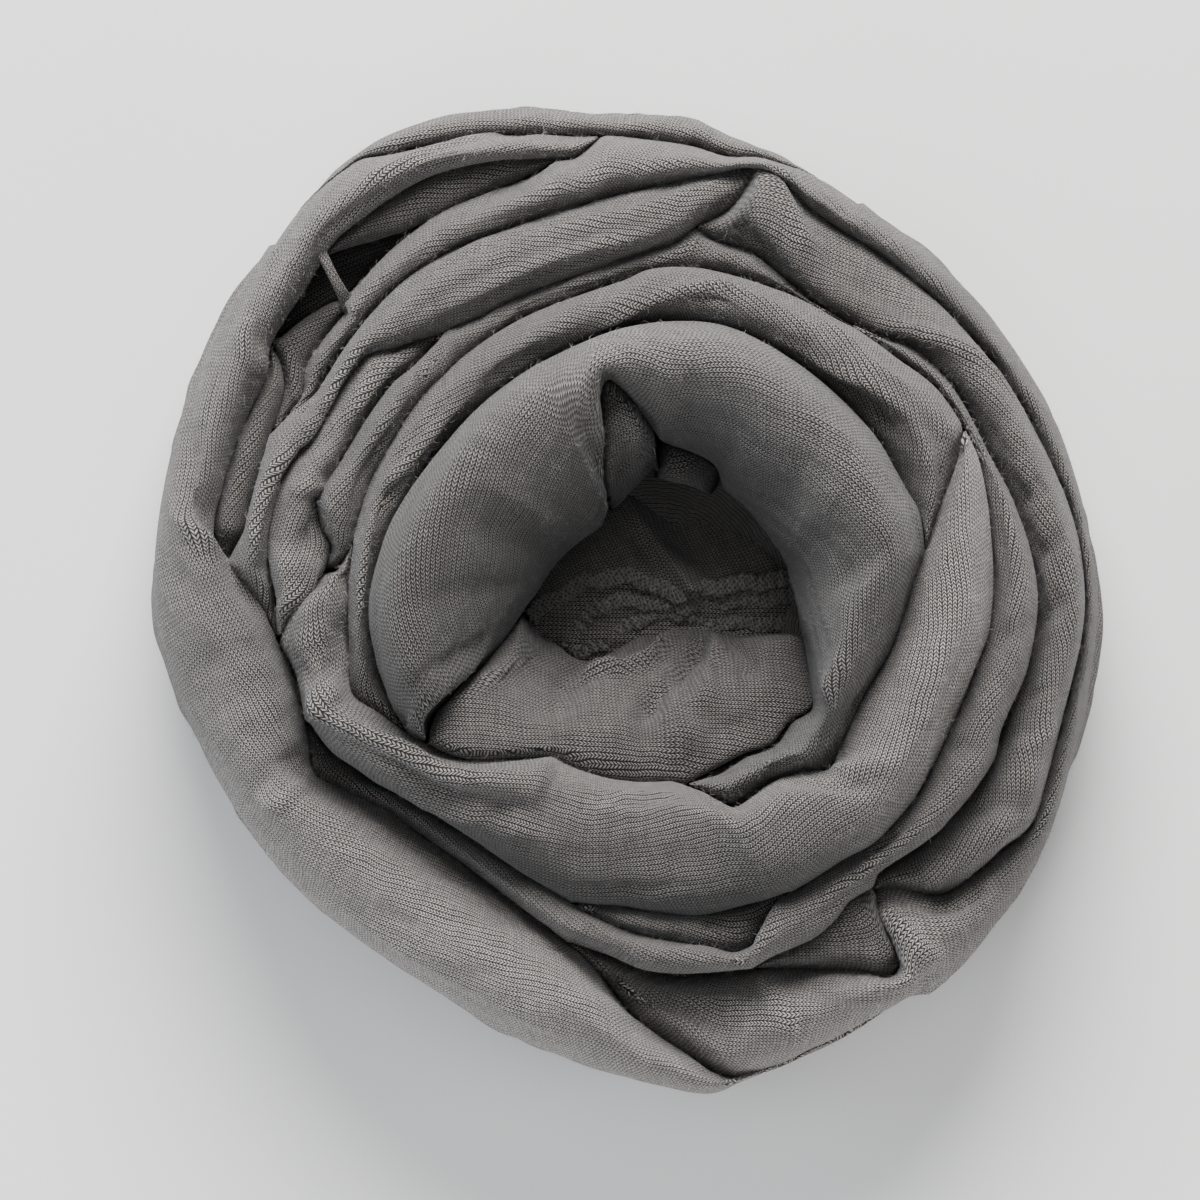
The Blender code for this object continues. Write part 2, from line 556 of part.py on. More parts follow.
def clear_scene():
    for thing in list(bpy.data.objects):
        bpy.data.objects.remove(thing, do_unlink=True)


def main():
    clear_scene()
    for order, (name, table, *_) in enumerate(STRETCHES):
        has_cloth = len(table[0]) == 4
        if has_cloth:
            make_stretch(order, make_material(name + "_jersey", CLOTH_COLOUR))
    make_core(make_material("hidden_layers_jersey", CORE_COLOUR))
    make_inner_end(make_material("inner_end_jersey", CLOTH_COLOUR))
    make_strand(make_material("cleft_strand_jersey", CLOTH_COLOUR))


main()
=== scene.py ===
"""A plain jersey hijab, folded into a band and coiled into a standing rosette.

Every stretch of the band that shows is a thin shell of knitted cloth. Its seams are rows of a
table, in millimetres round the middle of the well, and its creases are short lines laid over it.
The knit itself follows each shell's own UV map, which is in millimetres of cloth.
"""

import math
from collections import namedtuple

import bmesh
import bpy
import numpy as np
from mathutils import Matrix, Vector


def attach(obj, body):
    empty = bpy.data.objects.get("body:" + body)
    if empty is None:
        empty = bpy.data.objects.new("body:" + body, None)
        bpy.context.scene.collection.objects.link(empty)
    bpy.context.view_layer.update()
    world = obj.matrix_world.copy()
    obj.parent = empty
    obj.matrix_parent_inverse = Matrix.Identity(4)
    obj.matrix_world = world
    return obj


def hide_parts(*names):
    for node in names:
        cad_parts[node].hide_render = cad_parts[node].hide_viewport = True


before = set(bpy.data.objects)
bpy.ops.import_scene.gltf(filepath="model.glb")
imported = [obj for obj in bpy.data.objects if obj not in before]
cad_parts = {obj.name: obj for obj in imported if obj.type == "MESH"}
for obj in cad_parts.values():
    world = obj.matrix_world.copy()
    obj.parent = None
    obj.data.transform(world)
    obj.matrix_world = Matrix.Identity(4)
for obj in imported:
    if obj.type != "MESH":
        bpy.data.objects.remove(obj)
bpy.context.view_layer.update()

bl_info = {
    "name": "Coiled jersey hijab",
    "version": (1, 0, 0),
    "blender": (4, 5, 0),
    "location": "View3D > Sidebar > Hijab",
    "description": "Builds the cloth, the light and the camera of a hijab coiled into a rosette",
    "category": "Object",
}

MM = 0.001

# The middle of the well, in millimetres from the middle of the rosette.
WELL_CENTRE = (4.01, 0.13)

# The side of the outer wraps is widest at WIDEST_HEIGHT. Below that it is tucked in, on the first
# TUCK_SHARE of a round that is FOOT_TUCK deep. Above it, it leans in by SIDE_LEAN over LEAN_RISE.
WIDEST_HEIGHT = 20.0
FOOT_HEIGHT = 7.4
FOOT_TUCK = 4.4
TUCK_SHARE = 0.96
SIDE_LEAN = 1.3
LEAN_RISE = 28.0

# Outline of the rosette from above: azimuth_deg, radius_mm.
OUTLINE = (
    (0, 71.2), (20, 70.8), (45, 70.7), (60, 71.7), (75, 74.2), (80, 75.2), (85, 77.2),
    (95, 77.9), (105, 81.3), (115, 84.3), (122, 85.3), (130, 84.6), (140, 82.6), (150, 81.3),
    (165, 79.8), (180, 79.2), (190, 77.1), (200, 75.0), (215, 73.1), (237, 71.1), (245, 71.5),
    (255, 73.3), (265, 75.8), (272, 78.0), (277, 79.5), (281, 78.4), (295, 76.2), (310, 76.6),
    (320, 75.5), (340, 72.2), (350, 71.4),
)

# The height that the hidden layers reach, where the creases end: radius_mm, height_mm.
HIDDEN_TOP = (
    (0, 13.0), (8, 13.0), (12, 14.0), (16, 16.5), (20, 20.0), (25, 25.5), (30, 31.0),
    (36, 36.0), (42, 38.0), (48, 37.0), (54, 34.0), (60, 30.0), (67, 25.0), (75, 20.0), (90, 15.0),
)

# One table for each stretch: azimuth_deg, inner_mm, crest_mm, crest_share. inner_mm is the radius
# of its inner seam. Its outer seam is the inner one of whatever lies outside it. crest_share
# places the crest across it, 0 at the inner seam and 1 at the outer one.
OUTER_SLIVER = (
    (62, 71.3, 9, 0.5), (70, 72.6, 19, 0.5), (76, 72.9, 25, 0.5), (80, 72.0, 28, 0.5),
    (85, 73.0, 30, 0.5), (90, 73.6, 32, 0.5), (95, 74.4, 33, 0.5), (100, 75.4, 34, 0.5),
    (105, 77.0, 35, 0.5), (110, 78.8, 35, 0.5), (115, 80.4, 34, 0.5), (120, 82.4, 31, 0.5),
    (124, 84.3, 26, 0.5), (130, 84.0, 18, 0.5), (137, 82.5, 9, 0.5),
)
OUTER_LEFT = (
    (96, 74.3, 36, 0.5), (100, 71.6, 39, 0.5), (105, 73.0, 43, 0.5), (110, 74.7, 46, 0.5),
    (120, 76.5, 47, 0.5), (130, 76.5, 47, 0.5), (138, 74.2, 46, 0.5), (146, 73.1, 46, 0.45),
    (150, 70.9, 46, 0.5), (160, 70.7, 46, 0.5), (169, 70.9, 48, 0.35), (172.5, 70.3, 50, 0.2),
    (177.5, 66.0, 51, 0.2), (185, 60.5, 52, 0.2), (193, 57.9, 51, 0.3), (203, 59.2, 52, 0.42),
    (207, 60.8, 52, 0.46), (212, 57.6, 53, 0.52), (221, 53.1, 53, 0.6), (235, 51.7, 53, 0.64),
    (245, 52.8, 53, 0.64), (255, 55.7, 53, 0.6), (262, 60.2, 52, 0.56), (268, 67.2, 50, 0.5),
    (275, 73.2, 46, 0.5), (277.5, 76.2, 42, 0.5), (280, 77.7, 38, 0.5), (285, 77.1, 32, 0.5),
    (291, 76.2, 25, 0.5), (298, 75.6, 17, 0.5), (305, 75.9, 9, 0.5),
)
UNDER_FLAP_TOP = (
    (102, 72.0, 36, 0.6), (104.5, 71.0, 38, 0.6), (108, 70.3, 39, 0.6), (112.5, 70.2, 39, 0.6),
    (117.5, 70.2, 39, 0.6), (122, 70.5, 39, 0.6), (127, 72.2, 38, 0.6), (131, 74.4, 37, 0.6),
    (134, 75.9, 35, 0.6),
)
UNDER_FLAP_LEFT = (
    (146, 72.4, 34, 0.6), (148, 69.4, 37, 0.6), (150, 67.6, 38, 0.6), (155, 66.4, 39, 0.6),
    (165, 65.8, 40, 0.6), (170, 65.9, 40, 0.6), (173, 67.0, 37, 0.6), (175.5, 68.2, 34, 0.6),
)
UNDER_FLAP_EDGE = (
    (136, 67.2, 33, 0.5), (145, 66.6, 35, 0.5), (150, 64.4, 35, 0.5), (156, 65.9, 34, 0.5),
)
OUTER_RIGHT = (
    (257, 56.2, 38, 0.6), (262.5, 57.0, 40, 0.6), (270, 59.4, 43, 0.6), (285, 61.1, 45, 0.6),
    (295, 65.1, 46, 0.55), (300, 68.6, 47, 0.5), (303, 71.6, 47, 0.4), (304.5, 70.8, 47, 0.5),
    (305.7, 64.5, 47, 0.55), (307, 60.0, 47, 0.6), (308.5, 58.8, 46, 0.6), (312, 62.7, 45, 0.6),
    (315, 66.5, 43, 0.5), (325, 69.0, 41, 0.5), (330, 70.9, 40, 0.5), (335, 69.8, 40, 0.5),
    (340, 69.0, 39, 0.5), (345, 68.6, 39, 0.5), (355, 69.2, 39, 0.5), (360, 69.6, 39, 0.5),
    (366, 69.4, 39, 0.5), (375, 68.3, 39.5, 0.5), (385, 67.2, 41, 0.5), (405, 66.2, 43, 0.45),
    (422, 66.6, 45, 0.4), (428, 67.8, 46, 0.4), (431, 69.6, 46, 0.4), (435, 71.4, 47, 0.4),
    (438, 70.6, 48, 0.4), (441, 69.0, 48, 0.45), (450, 66.0, 48, 0.5), (460, 64.1, 48, 0.5),
    (470, 63.5, 47, 0.5), (485, 64.6, 46, 0.5), (500, 63.4, 42, 0.5), (507.5, 62.8, 37, 0.5),
    (513, 65.0, 35, 0.5),
)
Z_FOLD = (
    (286, 61.0, 40, 0.4), (290, 60.2, 42, 0.4), (295, 60.2, 44, 0.4), (300, 59.2, 45, 0.5),
    (304, 57.8, 46, 0.5), (308, 58.2, 45, 0.5),
)
THIRD_TOP = (
    (435.5, 71.1, 42, 0.4), (436.5, 68.7, 43, 0.4), (438, 64.9, 45, 0.4), (440, 62.5, 47, 0.5),
    (443, 60.2, 49, 0.5), (446, 57.2, 50, 0.5), (455, 54.7, 52, 0.45), (465, 53.1, 52, 0.5),
    (480, 52.8, 52, 0.5), (488, 54.2, 51, 0.5), (495, 57.2, 50, 0.5), (500, 60.0, 50, 0.4),
    (512, 59.8, 50, 0.3), (523, 62.0, 51, 0.3), (530, 62.0, 52, 0.3), (536, 61.0, 50, 0.4),
    (540, 59.8, 46, 0.4), (546, 60.0, 42, 0.4),
)
THIRD_RIGHT = (
    (307, 59.2, 40, 0.5), (310, 57.0, 42, 0.5), (320, 58.9, 46, 0.8), (330, 60.2, 48, 0.85),
    (335, 60.7, 48, 0.8), (340, 59.9, 47, 0.8), (350, 61.4, 47, 0.8), (360, 62.0, 47, 0.8),
    (375, 60.3, 48, 0.75), (385, 59.0, 49, 0.65), (395, 59.2, 49, 0.6), (403, 58.6, 49, 0.4),
    (410, 55.7, 48, 0.25), (415, 54.4, 47, 0.2), (420, 54.1, 47, 0.15), (428, 56.0, 48, 0.3),
    (435, 58.1, 49, 0.6), (440, 58.6, 45, 0.6), (443, 60.0, 42, 0.6),
)
FOURTH_LEFT = (
    (487, 53.9, 40, 0.7), (490, 53.4, 42, 0.7), (495, 53.2, 46, 0.7), (500, 53.8, 49, 0.6),
    (505, 53.8, 50, 0.5), (515, 54.1, 51, 0.4), (523, 55.7, 53, 0.3), (527, 54.1, 52, 0.4),
    (531, 51.6, 51, 0.6), (535, 52.4, 53, 0.6), (540, 56.0, 52, 0.5), (546, 59.6, 47, 0.5),
)
ROPE_UPPER = (
    (200, 57.8, 38, 0.5), (205, 56.6, 41, 0.5), (210, 54.1, 42, 0.5), (213, 53.0, 43, 0.6),
    (217.5, 51.0, 44, 0.6), (225, 48.6, 45, 0.6), (235, 47.6, 47, 0.6), (245, 48.2, 49, 0.6),
    (255, 49.9, 51, 0.5), (260, 51.4, 51.5, 0.45), (265, 52.8, 52, 0.4),
    (275, 55.0, 53, 0.4), (280, 56.5, 54, 0.4), (284, 58.0, 54, 0.4), (286.5, 57.6, 54, 0.4),
    (289.5, 55.0, 54, 0.5), (293.5, 52.0, 53, 0.5), (305, 51.7, 51, 0.55), (315, 52.9, 52, 0.6),
    (325, 52.8, 53, 0.7), (335, 52.3, 54, 0.75), (345, 52.8, 54, 0.75), (355, 54.4, 54, 0.75),
    (365, 55.0, 53, 0.7), (375, 56.0, 52, 0.6), (385, 57.3, 51, 0.5), (395, 57.1, 49, 0.5),
    (405, 55.2, 47, 0.5), (414, 54.4, 44, 0.5),
)
ROPE_LOWER = (
    (256, 49.8, 47, 0.5), (265, 49.2, 49, 0.5), (270, 49.9, 50, 0.5), (277, 50.7, 50, 0.5),
    (282, 51.0, 49, 0.5), (287, 51.1, 48, 0.5), (292, 51.4, 46, 0.5), (295, 51.6, 44, 0.5),
)
THIN_LAYERS = (
    (411, 54.9, 40, 0.5), (417, 53.9, 42, 0.5), (424, 53.8, 43, 0.5), (430, 53.6, 45, 0.5),
    (440, 53.6, 46, 0.5), (450, 52.8, 47, 0.5), (455, 51.2, 48, 0.5), (465, 49.9, 48, 0.5),
    (480, 49.3, 49, 0.5), (488, 49.1, 51, 0.5), (495, 49.0, 54, 0.5), (505, 48.6, 54, 0.5),
    (515, 48.6, 53, 0.5), (523, 48.5, 54, 0.6), (529, 48.5, 52, 0.5), (535, 50.6, 47, 0.5),
)
SECOND_LOWER = (
    (529, 48.3, 48, 0.5), (532.5, 48.2, 50, 0.5), (536, 48.3, 52, 0.5), (541, 48.3, 56, 0.85),
    (548, 48.4, 54, 0.5), (557, 50.0, 58, 0.8), (562.5, 47.0, 59, 0.7), (570, 43.7, 60, 0.5),
    (580, 39.4, 60, 0.35), (590, 33.1, 61, 0.25), (600, 29.4, 60, 0.2), (615, 29.3, 59, 0.2),
    (635, 29.1, 59, 0.2), (645, 31.7, 60, 0.2), (649, 34.0, 61, 0.2), (652.5, 35.9, 62, 0.25),
    (663, 35.0, 62, 0.3), (671, 36.6, 62, 0.35), (677, 39.4, 62, 0.4), (685, 38.0, 61, 0.6),
    (695, 37.4, 61, 0.7), (710, 39.6, 62, 0.65), (720, 41.3, 62, 0.6), (730, 44.6, 62, 0.5),
    (735, 46.9, 61, 0.45), (740, 50.4, 60, 0.4), (745, 54.4, 57, 0.4), (749, 57.0, 52, 0.4),
)
SECOND_UPPER = (
    (370, 44.6, 56, 0.6), (378, 45.3, 58, 0.6), (385, 44.4, 59, 0.6), (395, 44.6, 60, 0.5),
    (405, 44.4, 61, 0.5), (420, 44.7, 60, 0.5), (435, 45.5, 60, 0.5), (445, 44.8, 59, 0.5),
    (455, 43.8, 58, 0.5), (470, 42.1, 57, 0.5), (485, 41.4, 56, 0.5), (500, 41.2, 56, 0.5),
    (515, 42.1, 56, 0.5), (530, 43.9, 56, 0.5), (545, 45.1, 55, 0.5), (552.5, 44.8, 53, 0.5),
    (560, 44.6, 51, 0.5), (568, 44.3, 49, 0.5),
)
INNER_ROLL = (
    (281, 30.0, 49, 0.5), (290, 29.0, 53, 0.5), (300, 28.7, 56, 0.5), (311, 30.2, 59, 0.5),
    (319, 29.5, 61, 0.5), (326, 31.2, 64, 0.4), (333, 28.8, 66, 0.4), (341, 26.4, 67, 0.5),
    (355, 23.8, 69, 0.6), (375, 22.5, 71, 0.75), (395, 21.3, 72, 0.8), (415, 21.3, 72, 0.8),
    (425, 24.0, 73, 0.8), (445, 25.3, 73, 0.75), (451, 29.0, 73, 0.7), (457.5, 34.0, 73, 0.5),
    (461, 36.0, 73, 0.4), (464, 33.1, 73, 0.5), (467, 27.2, 72, 0.65), (472, 22.3, 72, 0.75),
    (476, 15.8, 72, 0.85), (485, 14.1, 72, 0.87), (500, 14.6, 72, 0.87), (520, 16.2, 72, 0.87),
    (535, 17.9, 72, 0.87), (545, 20.4, 72, 0.85), (555, 24.0, 71, 0.8), (561, 28.0, 69, 0.7),
    (565, 33.0, 66, 0.6), (568, 39.0, 62, 0.5), (573, 42.3, 57, 0.5),
)
WELL_STRIP = (
    (420, 19.4, 34, 0.5), (430, 19.4, 40, 0.5), (437.5, 19.2, 42, 0.5), (448, 19.6, 41, 0.5),
)
WELL_POCKET = (
    (445, 23.4, 45, 0.6), (448, 21.6, 50, 0.65), (451, 20.2, 56, 0.7), (455, 18.9, 61, 0.75),
    (461, 17.4, 61, 0.75), (467.5, 16.0, 54, 0.7), (474, 15.4, 45, 0.6),
)
WELL_WALL = (
    (186, 20.6, 41, 0.6), (195, 18.6, 46, 0.6), (202, 17.2, 50, 0.65), (207.5, 16.4, 57, 0.85),
    (215, 15.6, 59, 0.9), (225, 14.0, 57, 0.9), (235, 10.0, 55, 0.9), (245, 7.2, 53, 0.85),
    (260, 5.6, 51, 0.8), (275, 5.0, 49, 0.75), (290, 4.6, 47, 0.7), (305, 4.4, 45, 0.7),
    (318, 4.8, 43, 0.7), (329, 5.4, 41, 0.7), (335, 6.6, 39, 0.7), (339, 8.8, 38, 0.7),
    (341.5, 11.6, 37, 0.7), (343.5, 15.0, 36, 0.7), (345.5, 20.0, 35, 0.7), (348, 25.0, 33, 0.7),
)
# The open cleft at the upper left, with cloth at its bottom that is painted dark as its shade.
TOP_CLEFT = (
    (119, 70.4, 26, 0.5), (124, 69.8, 27, 0.5), (130, 69.2, 27, 0.5), (135, 68.9, 27, 0.5),
    (137.5, 70.0, 27, 0.5), (141, 71.4, 26, 0.5), (145, 72.6, 25, 0.5),
)

# Creases: height_mm (a ridge is positive), width_mm, and the line as (azimuth_deg, radius_mm).
OUTER_LEFT_CREASES = (
    (1.7, 1.8, ((168.5, 78.4), (172, 72.8), (175, 68.8), (180, 64.2), (185, 60.8))),
    (-1.5, 2.6, ((161, 77.8), (166, 74.5), (171, 70.8))),
    (-0.9, 2.6, ((176, 77.0), (180, 70.5), (186, 65.0))),
    (0.7, 1.8, ((146.5, 79.6), (148.5, 76.0), (149.5, 72.0))),
    (-0.6, 1.8, ((143, 79.2), (145, 76.0), (146.5, 73.6))),
    (-1.0, 1.5, ((113, 77.0), (122, 77.9), (133, 77.7))),
    (0.7, 1.3, ((104, 76.8), (112, 79.2), (120, 80.4), (127, 80.8))),
    (-0.9, 2.8, ((187, 61.5), (187, 67.0), (189, 73.5))),
    (0.7, 2.6, ((195, 59.0), (196, 66.0), (198, 71.5))),
    (1.1, 1.5, ((207, 61.2), (208.5, 65.5), (209, 70.0))),
    (-1.0, 2.0, ((203.5, 60.5), (204.5, 66.0), (206, 71.0))),
    (-0.8, 2.4, ((211, 66.8), (225, 65.6), (240, 64.6), (255, 66.6), (266, 72.4))),
    (0.5, 1.8, ((214, 61.5), (228, 59.4), (242, 58.6), (256, 61.0))),
    (-0.5, 1.2, ((151, 77.6), (157, 76.6), (163, 75.6))),
    (-0.5, 1.4, ((217, 56.4), (228, 54.6), (241, 54.6), (251, 56.6))),
    (0.4, 1.2, ((224, 69.6), (236, 68.4), (249, 69.0), (259, 71.6))),
    (-0.5, 1.5, ((136, 80.6), (141, 77.8), (143, 76.2))),
)
OUTER_RIGHT_CREASES = (
    (-1.6, 3.4, ((266, 62.5), (272, 65.0), (279, 69.5), (283, 72.4))),
    (1.2, 1.5, ((286.5, 62.5), (288, 70.0), (288.5, 75.6))),
    (-0.9, 1.8, ((292, 66.5), (294.5, 71.0), (296.5, 75.2))),
    (1.3, 1.8, ((306.5, 62.0), (308, 68.0), (309, 74.8))),
    (-1.4, 2.2, ((311.5, 64.6), (315, 69.0), (320, 71.8))),
    (0.6, 1.2, ((275, 63.5), (281, 65.0), (285, 67.0))),
    (-0.5, 1.2, ((299, 72.4), (302, 74.4), (308, 75.6))),
    (0.5, 1.6, ((440, 71.0), (452, 68.4), (464, 67.2), (478, 67.2))),
    (-0.5, 0.9, ((410, 68.4), (420, 68.8), (427, 70.4))),
    (-0.4, 1.6, ((334, 71.2), (337, 70.2))),
    (0.6, 1.1, ((468, 64.8), (480, 65.8), (492, 65.4))),
)
Z_FOLD_CREASES = (
    (-1.0, 1.6, ((296, 61.6), (301, 63.6), (304, 66.4))),
)
THIRD_TOP_CREASES = (
    (1.0, 1.2, ((493, 61.3), (505, 61.1), (510, 60.4), (515, 61.0), (520, 63.2), (525, 64.3),
                (530, 64.5), (535, 63.0), (540, 61.4))),
    (-0.9, 1.1, ((510.5, 60.6), (511, 62.5), (511.5, 64.8))),
    (-0.9, 1.2, ((446, 62.0), (456, 59.4), (468, 58.6), (482, 58.8), (492, 59.8))),
    (0.6, 0.9, ((448, 59.4), (458, 57.4), (470, 56.4), (483, 56.4))),
    (-0.6, 0.9, ((452, 57.4), (462, 55.2), (476, 54.8), (486, 55.6))),
    (0.7, 1.1, ((438, 69.8), (442, 66.6), (450, 63.0), (462, 61.4), (476, 61.6))),
    (-0.5, 0.9, ((460, 62.6), (474, 62.4), (488, 62.8))),
    (-0.7, 1.2, ((526, 62.6), (532, 63.2), (537, 62.0))),
)
THIRD_RIGHT_CREASES = (
    (1.5, 1.6, ((435.3, 70.4), (432, 68.2), (428, 64.0), (424, 60.4))),
    (-2.0, 4.5, ((404, 63.0), (411, 61.5), (418, 60.5), (424, 63.5))),
    (1.5, 1.7, ((387, 66.6), (395, 65.2), (402, 62.4), (408, 58.6), (412, 56.2))),
    (-0.9, 1.8, ((357, 62.8), (360, 67.5))),
    (-0.9, 1.6, ((366, 63.0), (369, 67.5))),
    (-0.8, 1.4, ((374, 61.4), (377, 66.0))),
    (-0.6, 1.2, ((385, 60.6), (388, 64.5))),
    (-1.4, 2.2, ((327.5, 61.5), (330.5, 66.5), (330.5, 69.8))),
    (0.8, 1.3, ((336, 62.4), (341, 66.8), (343, 68.0))),
    (-0.6, 1.1, ((345, 62.0), (348, 66.5))),
    (-1.0, 1.6, ((429, 57.6), (434, 60.4), (438, 62.2))),
    (0.5, 1.2, ((352, 63.6), (364, 64.0), (376, 63.4), (386, 62.4))),
)
FOURTH_LEFT_CREASES = (
    (1.0, 1.2, ((494, 54.8), (499, 56.0), (504, 56.2), (509, 55.8))),
    (1.1, 1.2, ((519, 54.8), (521.5, 57.0), (523, 60.0))),
    (-1.4, 2.0, ((525, 55.2), (529, 54.2), (531, 57.0))),
    (1.3, 1.6, ((535.5, 53.6), (538, 56.0), (541, 58.6))),
    (-0.8, 1.2, ((511, 56.6), (515, 58.2), (516, 59.4))),
)
ROPE_UPPER_CREASES = (
    (1.0, 1.5, ((287, 58.0), (290, 55.4), (294, 52.9))),
    (-1.1, 1.6, ((283.5, 58.8), (284.8, 59.6))),
    (-1.3, 1.5, ((309, 53.0), (313, 53.6), (318, 54.0))),
    (-0.9, 2.0, ((334, 54.0), (336, 59.0))),
    (-0.9, 2.0, ((353, 55.8), (356, 60.6))),
    (0.6, 1.2, ((294, 55.6), (304, 54.8), (316, 56.0), (328, 57.0))),
    (-0.6, 1.1, ((296, 57.6), (306, 56.4), (318, 57.6))),
    (-0.5, 1.0, ((232, 49.6), (246, 50.2), (258, 53.0), (270, 57.0))),
    (0.4, 1.0, ((340, 56.6), (350, 57.8), (362, 58.6), (374, 58.8))),
    (-0.5, 0.9, ((364, 56.8), (374, 57.6), (384, 58.2))),
)
ROPE_LOWER_CREASES = (
    (-0.8, 1.0, ((279, 52.8), (285, 54.0))),
)
THIN_LAYERS_CREASES = (
    (-1.3, 1.6, ((489, 50.8), (493, 51.2), (497, 51.0))),
    (-0.5, 0.8, ((458, 51.4), (470, 51.0), (484, 51.2))),
    (0.6, 0.8, ((500, 51.2), (510, 51.2), (520, 51.8))),
    (-0.6, 0.8, ((503, 49.8), (514, 49.8), (524, 50.0))),
)
SECOND_LOWER_CREASES = (
    (1.1, 2.0, ((544.5, 51.5), (547, 54.5), (548, 57.0))),
    (-1.1, 1.4, ((551, 50.6), (552.5, 54.0), (553, 57.0))),
    (1.2, 1.5, ((555.5, 52.0), (557.5, 54.5), (558.5, 57.0))),
    (2.0, 1.8, ((560, 55.2), (563, 52.0), (568, 48.0), (573, 45.6), (578, 43.5), (584, 40.8),
                (592, 37.4))),
    (-1.9, 1.9, ((566, 52.2), (575, 47.6), (585, 43.8), (595, 40.6), (603, 38.8))),
    (1.0, 1.4, ((577, 49.6), (587, 46.4), (598, 43.4), (606, 41.4))),
    (-1.1, 2.6, ((602.4, 30.2), (603.0, 34.0), (605, 38.6))),
    (0.8, 2.0, ((597.6, 30.0), (598.4, 34.0), (599.0, 39.0))),
    (-1.3, 4.6, ((606, 44.2), (620, 43.6), (640, 43.4), (657, 44.6))),
    (0.9, 2.2, ((651, 38.0), (660, 38.4), (669, 39.8))),
    (1.5, 1.7, ((676.5, 40.0), (681, 42.8), (687, 46.7))),
    (-1.0, 1.7, ((670, 38.6), (675, 42.8), (681, 46.6))),
    (0.5, 0.7, ((612, 31.4), (624, 31.2), (638, 31.4))),
    (-0.5, 0.7, ((610, 32.8), (624, 32.8), (641, 33.2))),
    (0.4, 0.7, ((614, 34.4), (628, 34.4), (644, 35.4))),
    (-0.6, 1.2, ((606, 47.4), (622, 47.0), (640, 47.4))),
    (0.7, 1.6, ((692, 44.0), (702, 45.6), (714, 47.8))),
    (-0.7, 1.6, ((690, 49.6), (700, 50.0), (712, 51.2))),
    (0.6, 1.3, ((586, 47.0), (596, 45.2), (606, 46.0))),
)
SECOND_UPPER_CREASES = (
    (-1.5, 1.5, ((516, 44.4), (519.5, 45.2), (523, 45.0))),
    (-1.1, 1.6, ((471, 44.0), (479, 43.6), (486, 43.2))),
    (1.1, 1.0, ((422, 50.9), (437, 51.7), (443, 50.1), (450, 47.5), (457, 45.5), (465, 44.0))),
    (1.1, 1.0, ((385, 49.1), (390, 50.1), (395, 50.6), (400, 49.9), (405, 49.1), (410, 47.4),
                (415, 46.9), (425, 46.6))),
    (-1.3, 1.5, ((434, 48.6), (438, 48.9), (442, 48.0))),
    (-1.3, 1.6, ((394, 46.8), (402, 46.6), (410, 45.9))),
    (-1.2, 2.0, ((381, 50.4), (387, 52.6), (393, 53.6))),
    (0.8, 0.9, ((489, 43.4), (500, 43.6), (512, 44.8), (520, 46.8))),
    (-0.7, 0.9, ((492, 45.6), (504, 45.6), (513, 46.4))),
    (0.6, 0.9, ((524, 46.4), (534, 46.0), (546, 46.8))),
    (0.6, 1.0, ((398, 53.4), (408, 52.0), (420, 52.6))),
)
INNER_ROLL_CREASES = (
    (-1.2, 2.4, ((364, 28.5), (369, 34.0), (373, 40.0))),
    (-0.7, 3.4, ((514, 19.5), (516.5, 28.0), (519, 37.5))),
    (1.1, 2.4, ((559, 30.0), (562, 36.0), (565, 40.5))),
    (-1.0, 1.4, ((553.5, 28.5), (556.5, 34.0), (558.5, 40.0))),
    (1.2, 1.8, ((466.5, 31.0), (469.5, 25.0), (473, 19.5))),
    (0.9, 1.6, ((330, 32.0), (337, 32.4), (345, 32.8))),
    (-0.9, 1.6, ((323, 33.6), (329, 36.0), (338, 38.0))),
    (-0.7, 3.0, ((396, 26.0), (402, 33.0), (406, 40.0))),
    (0.6, 2.4, ((384, 25.5), (389, 32.0), (392, 39.0))),
    (-0.7, 1.6, ((437, 28.5), (440, 34.0), (441, 40.5))),
    (-0.6, 2.6, ((534, 20.5), (537, 29.0), (541, 38.5))),
    (0.6, 2.2, ((500, 17.0), (503, 26.0), (505, 36.5))),
    (-0.8, 1.2, ((300, 30.8), (306, 33.0), (312, 34.4))),
)
WELL_WALL_CREASES = (
    (2.6, 1.7, ((229, 15.4), (234, 14.2), (246, 12.6), (265, 10.4), (284, 8.3), (308, 6.9))),
    (-2.6, 1.8, ((328, 9.8), (313, 10.6), (290, 12.4), (277, 14.8), (266, 18.6))),
    (1.8, 1.5, ((338, 12.6), (325, 13.6), (310, 15.0), (298, 18.0), (292, 21.5))),
    (-2.2, 1.8, ((341, 15.0), (332, 17.0), (324, 21.0))),
    (1.8, 2.0, ((280.5, 11.5), (282, 18.0), (283, 25.0))),
    (-1.7, 1.9, ((272, 14.5), (271, 19.0), (270, 25.0))),
    (0.8, 1.6, ((262, 17.0), (256, 20.5), (250, 24.5))),
    (-1.6, 1.4, ((222, 16.0), (227, 19.0), (230, 23.0))),
    (-0.9, 2.0, ((231, 20.0), (236, 24.5), (240, 28.0))),
    (0.9, 1.5, ((207, 36.5), (209.5, 32.0), (213, 27.0))),
    (-1.4, 2.2, ((292, 17.5), (298, 22.0), (304, 26.0))),
)
WELL_POCKET_CREASES = (
    (-1.0, 1.0, ((452, 24.5), (459, 22.5), (466, 20.0))),
    (0.8, 1.0, ((452, 28.0), (459, 26.0), (467, 22.0))),
)

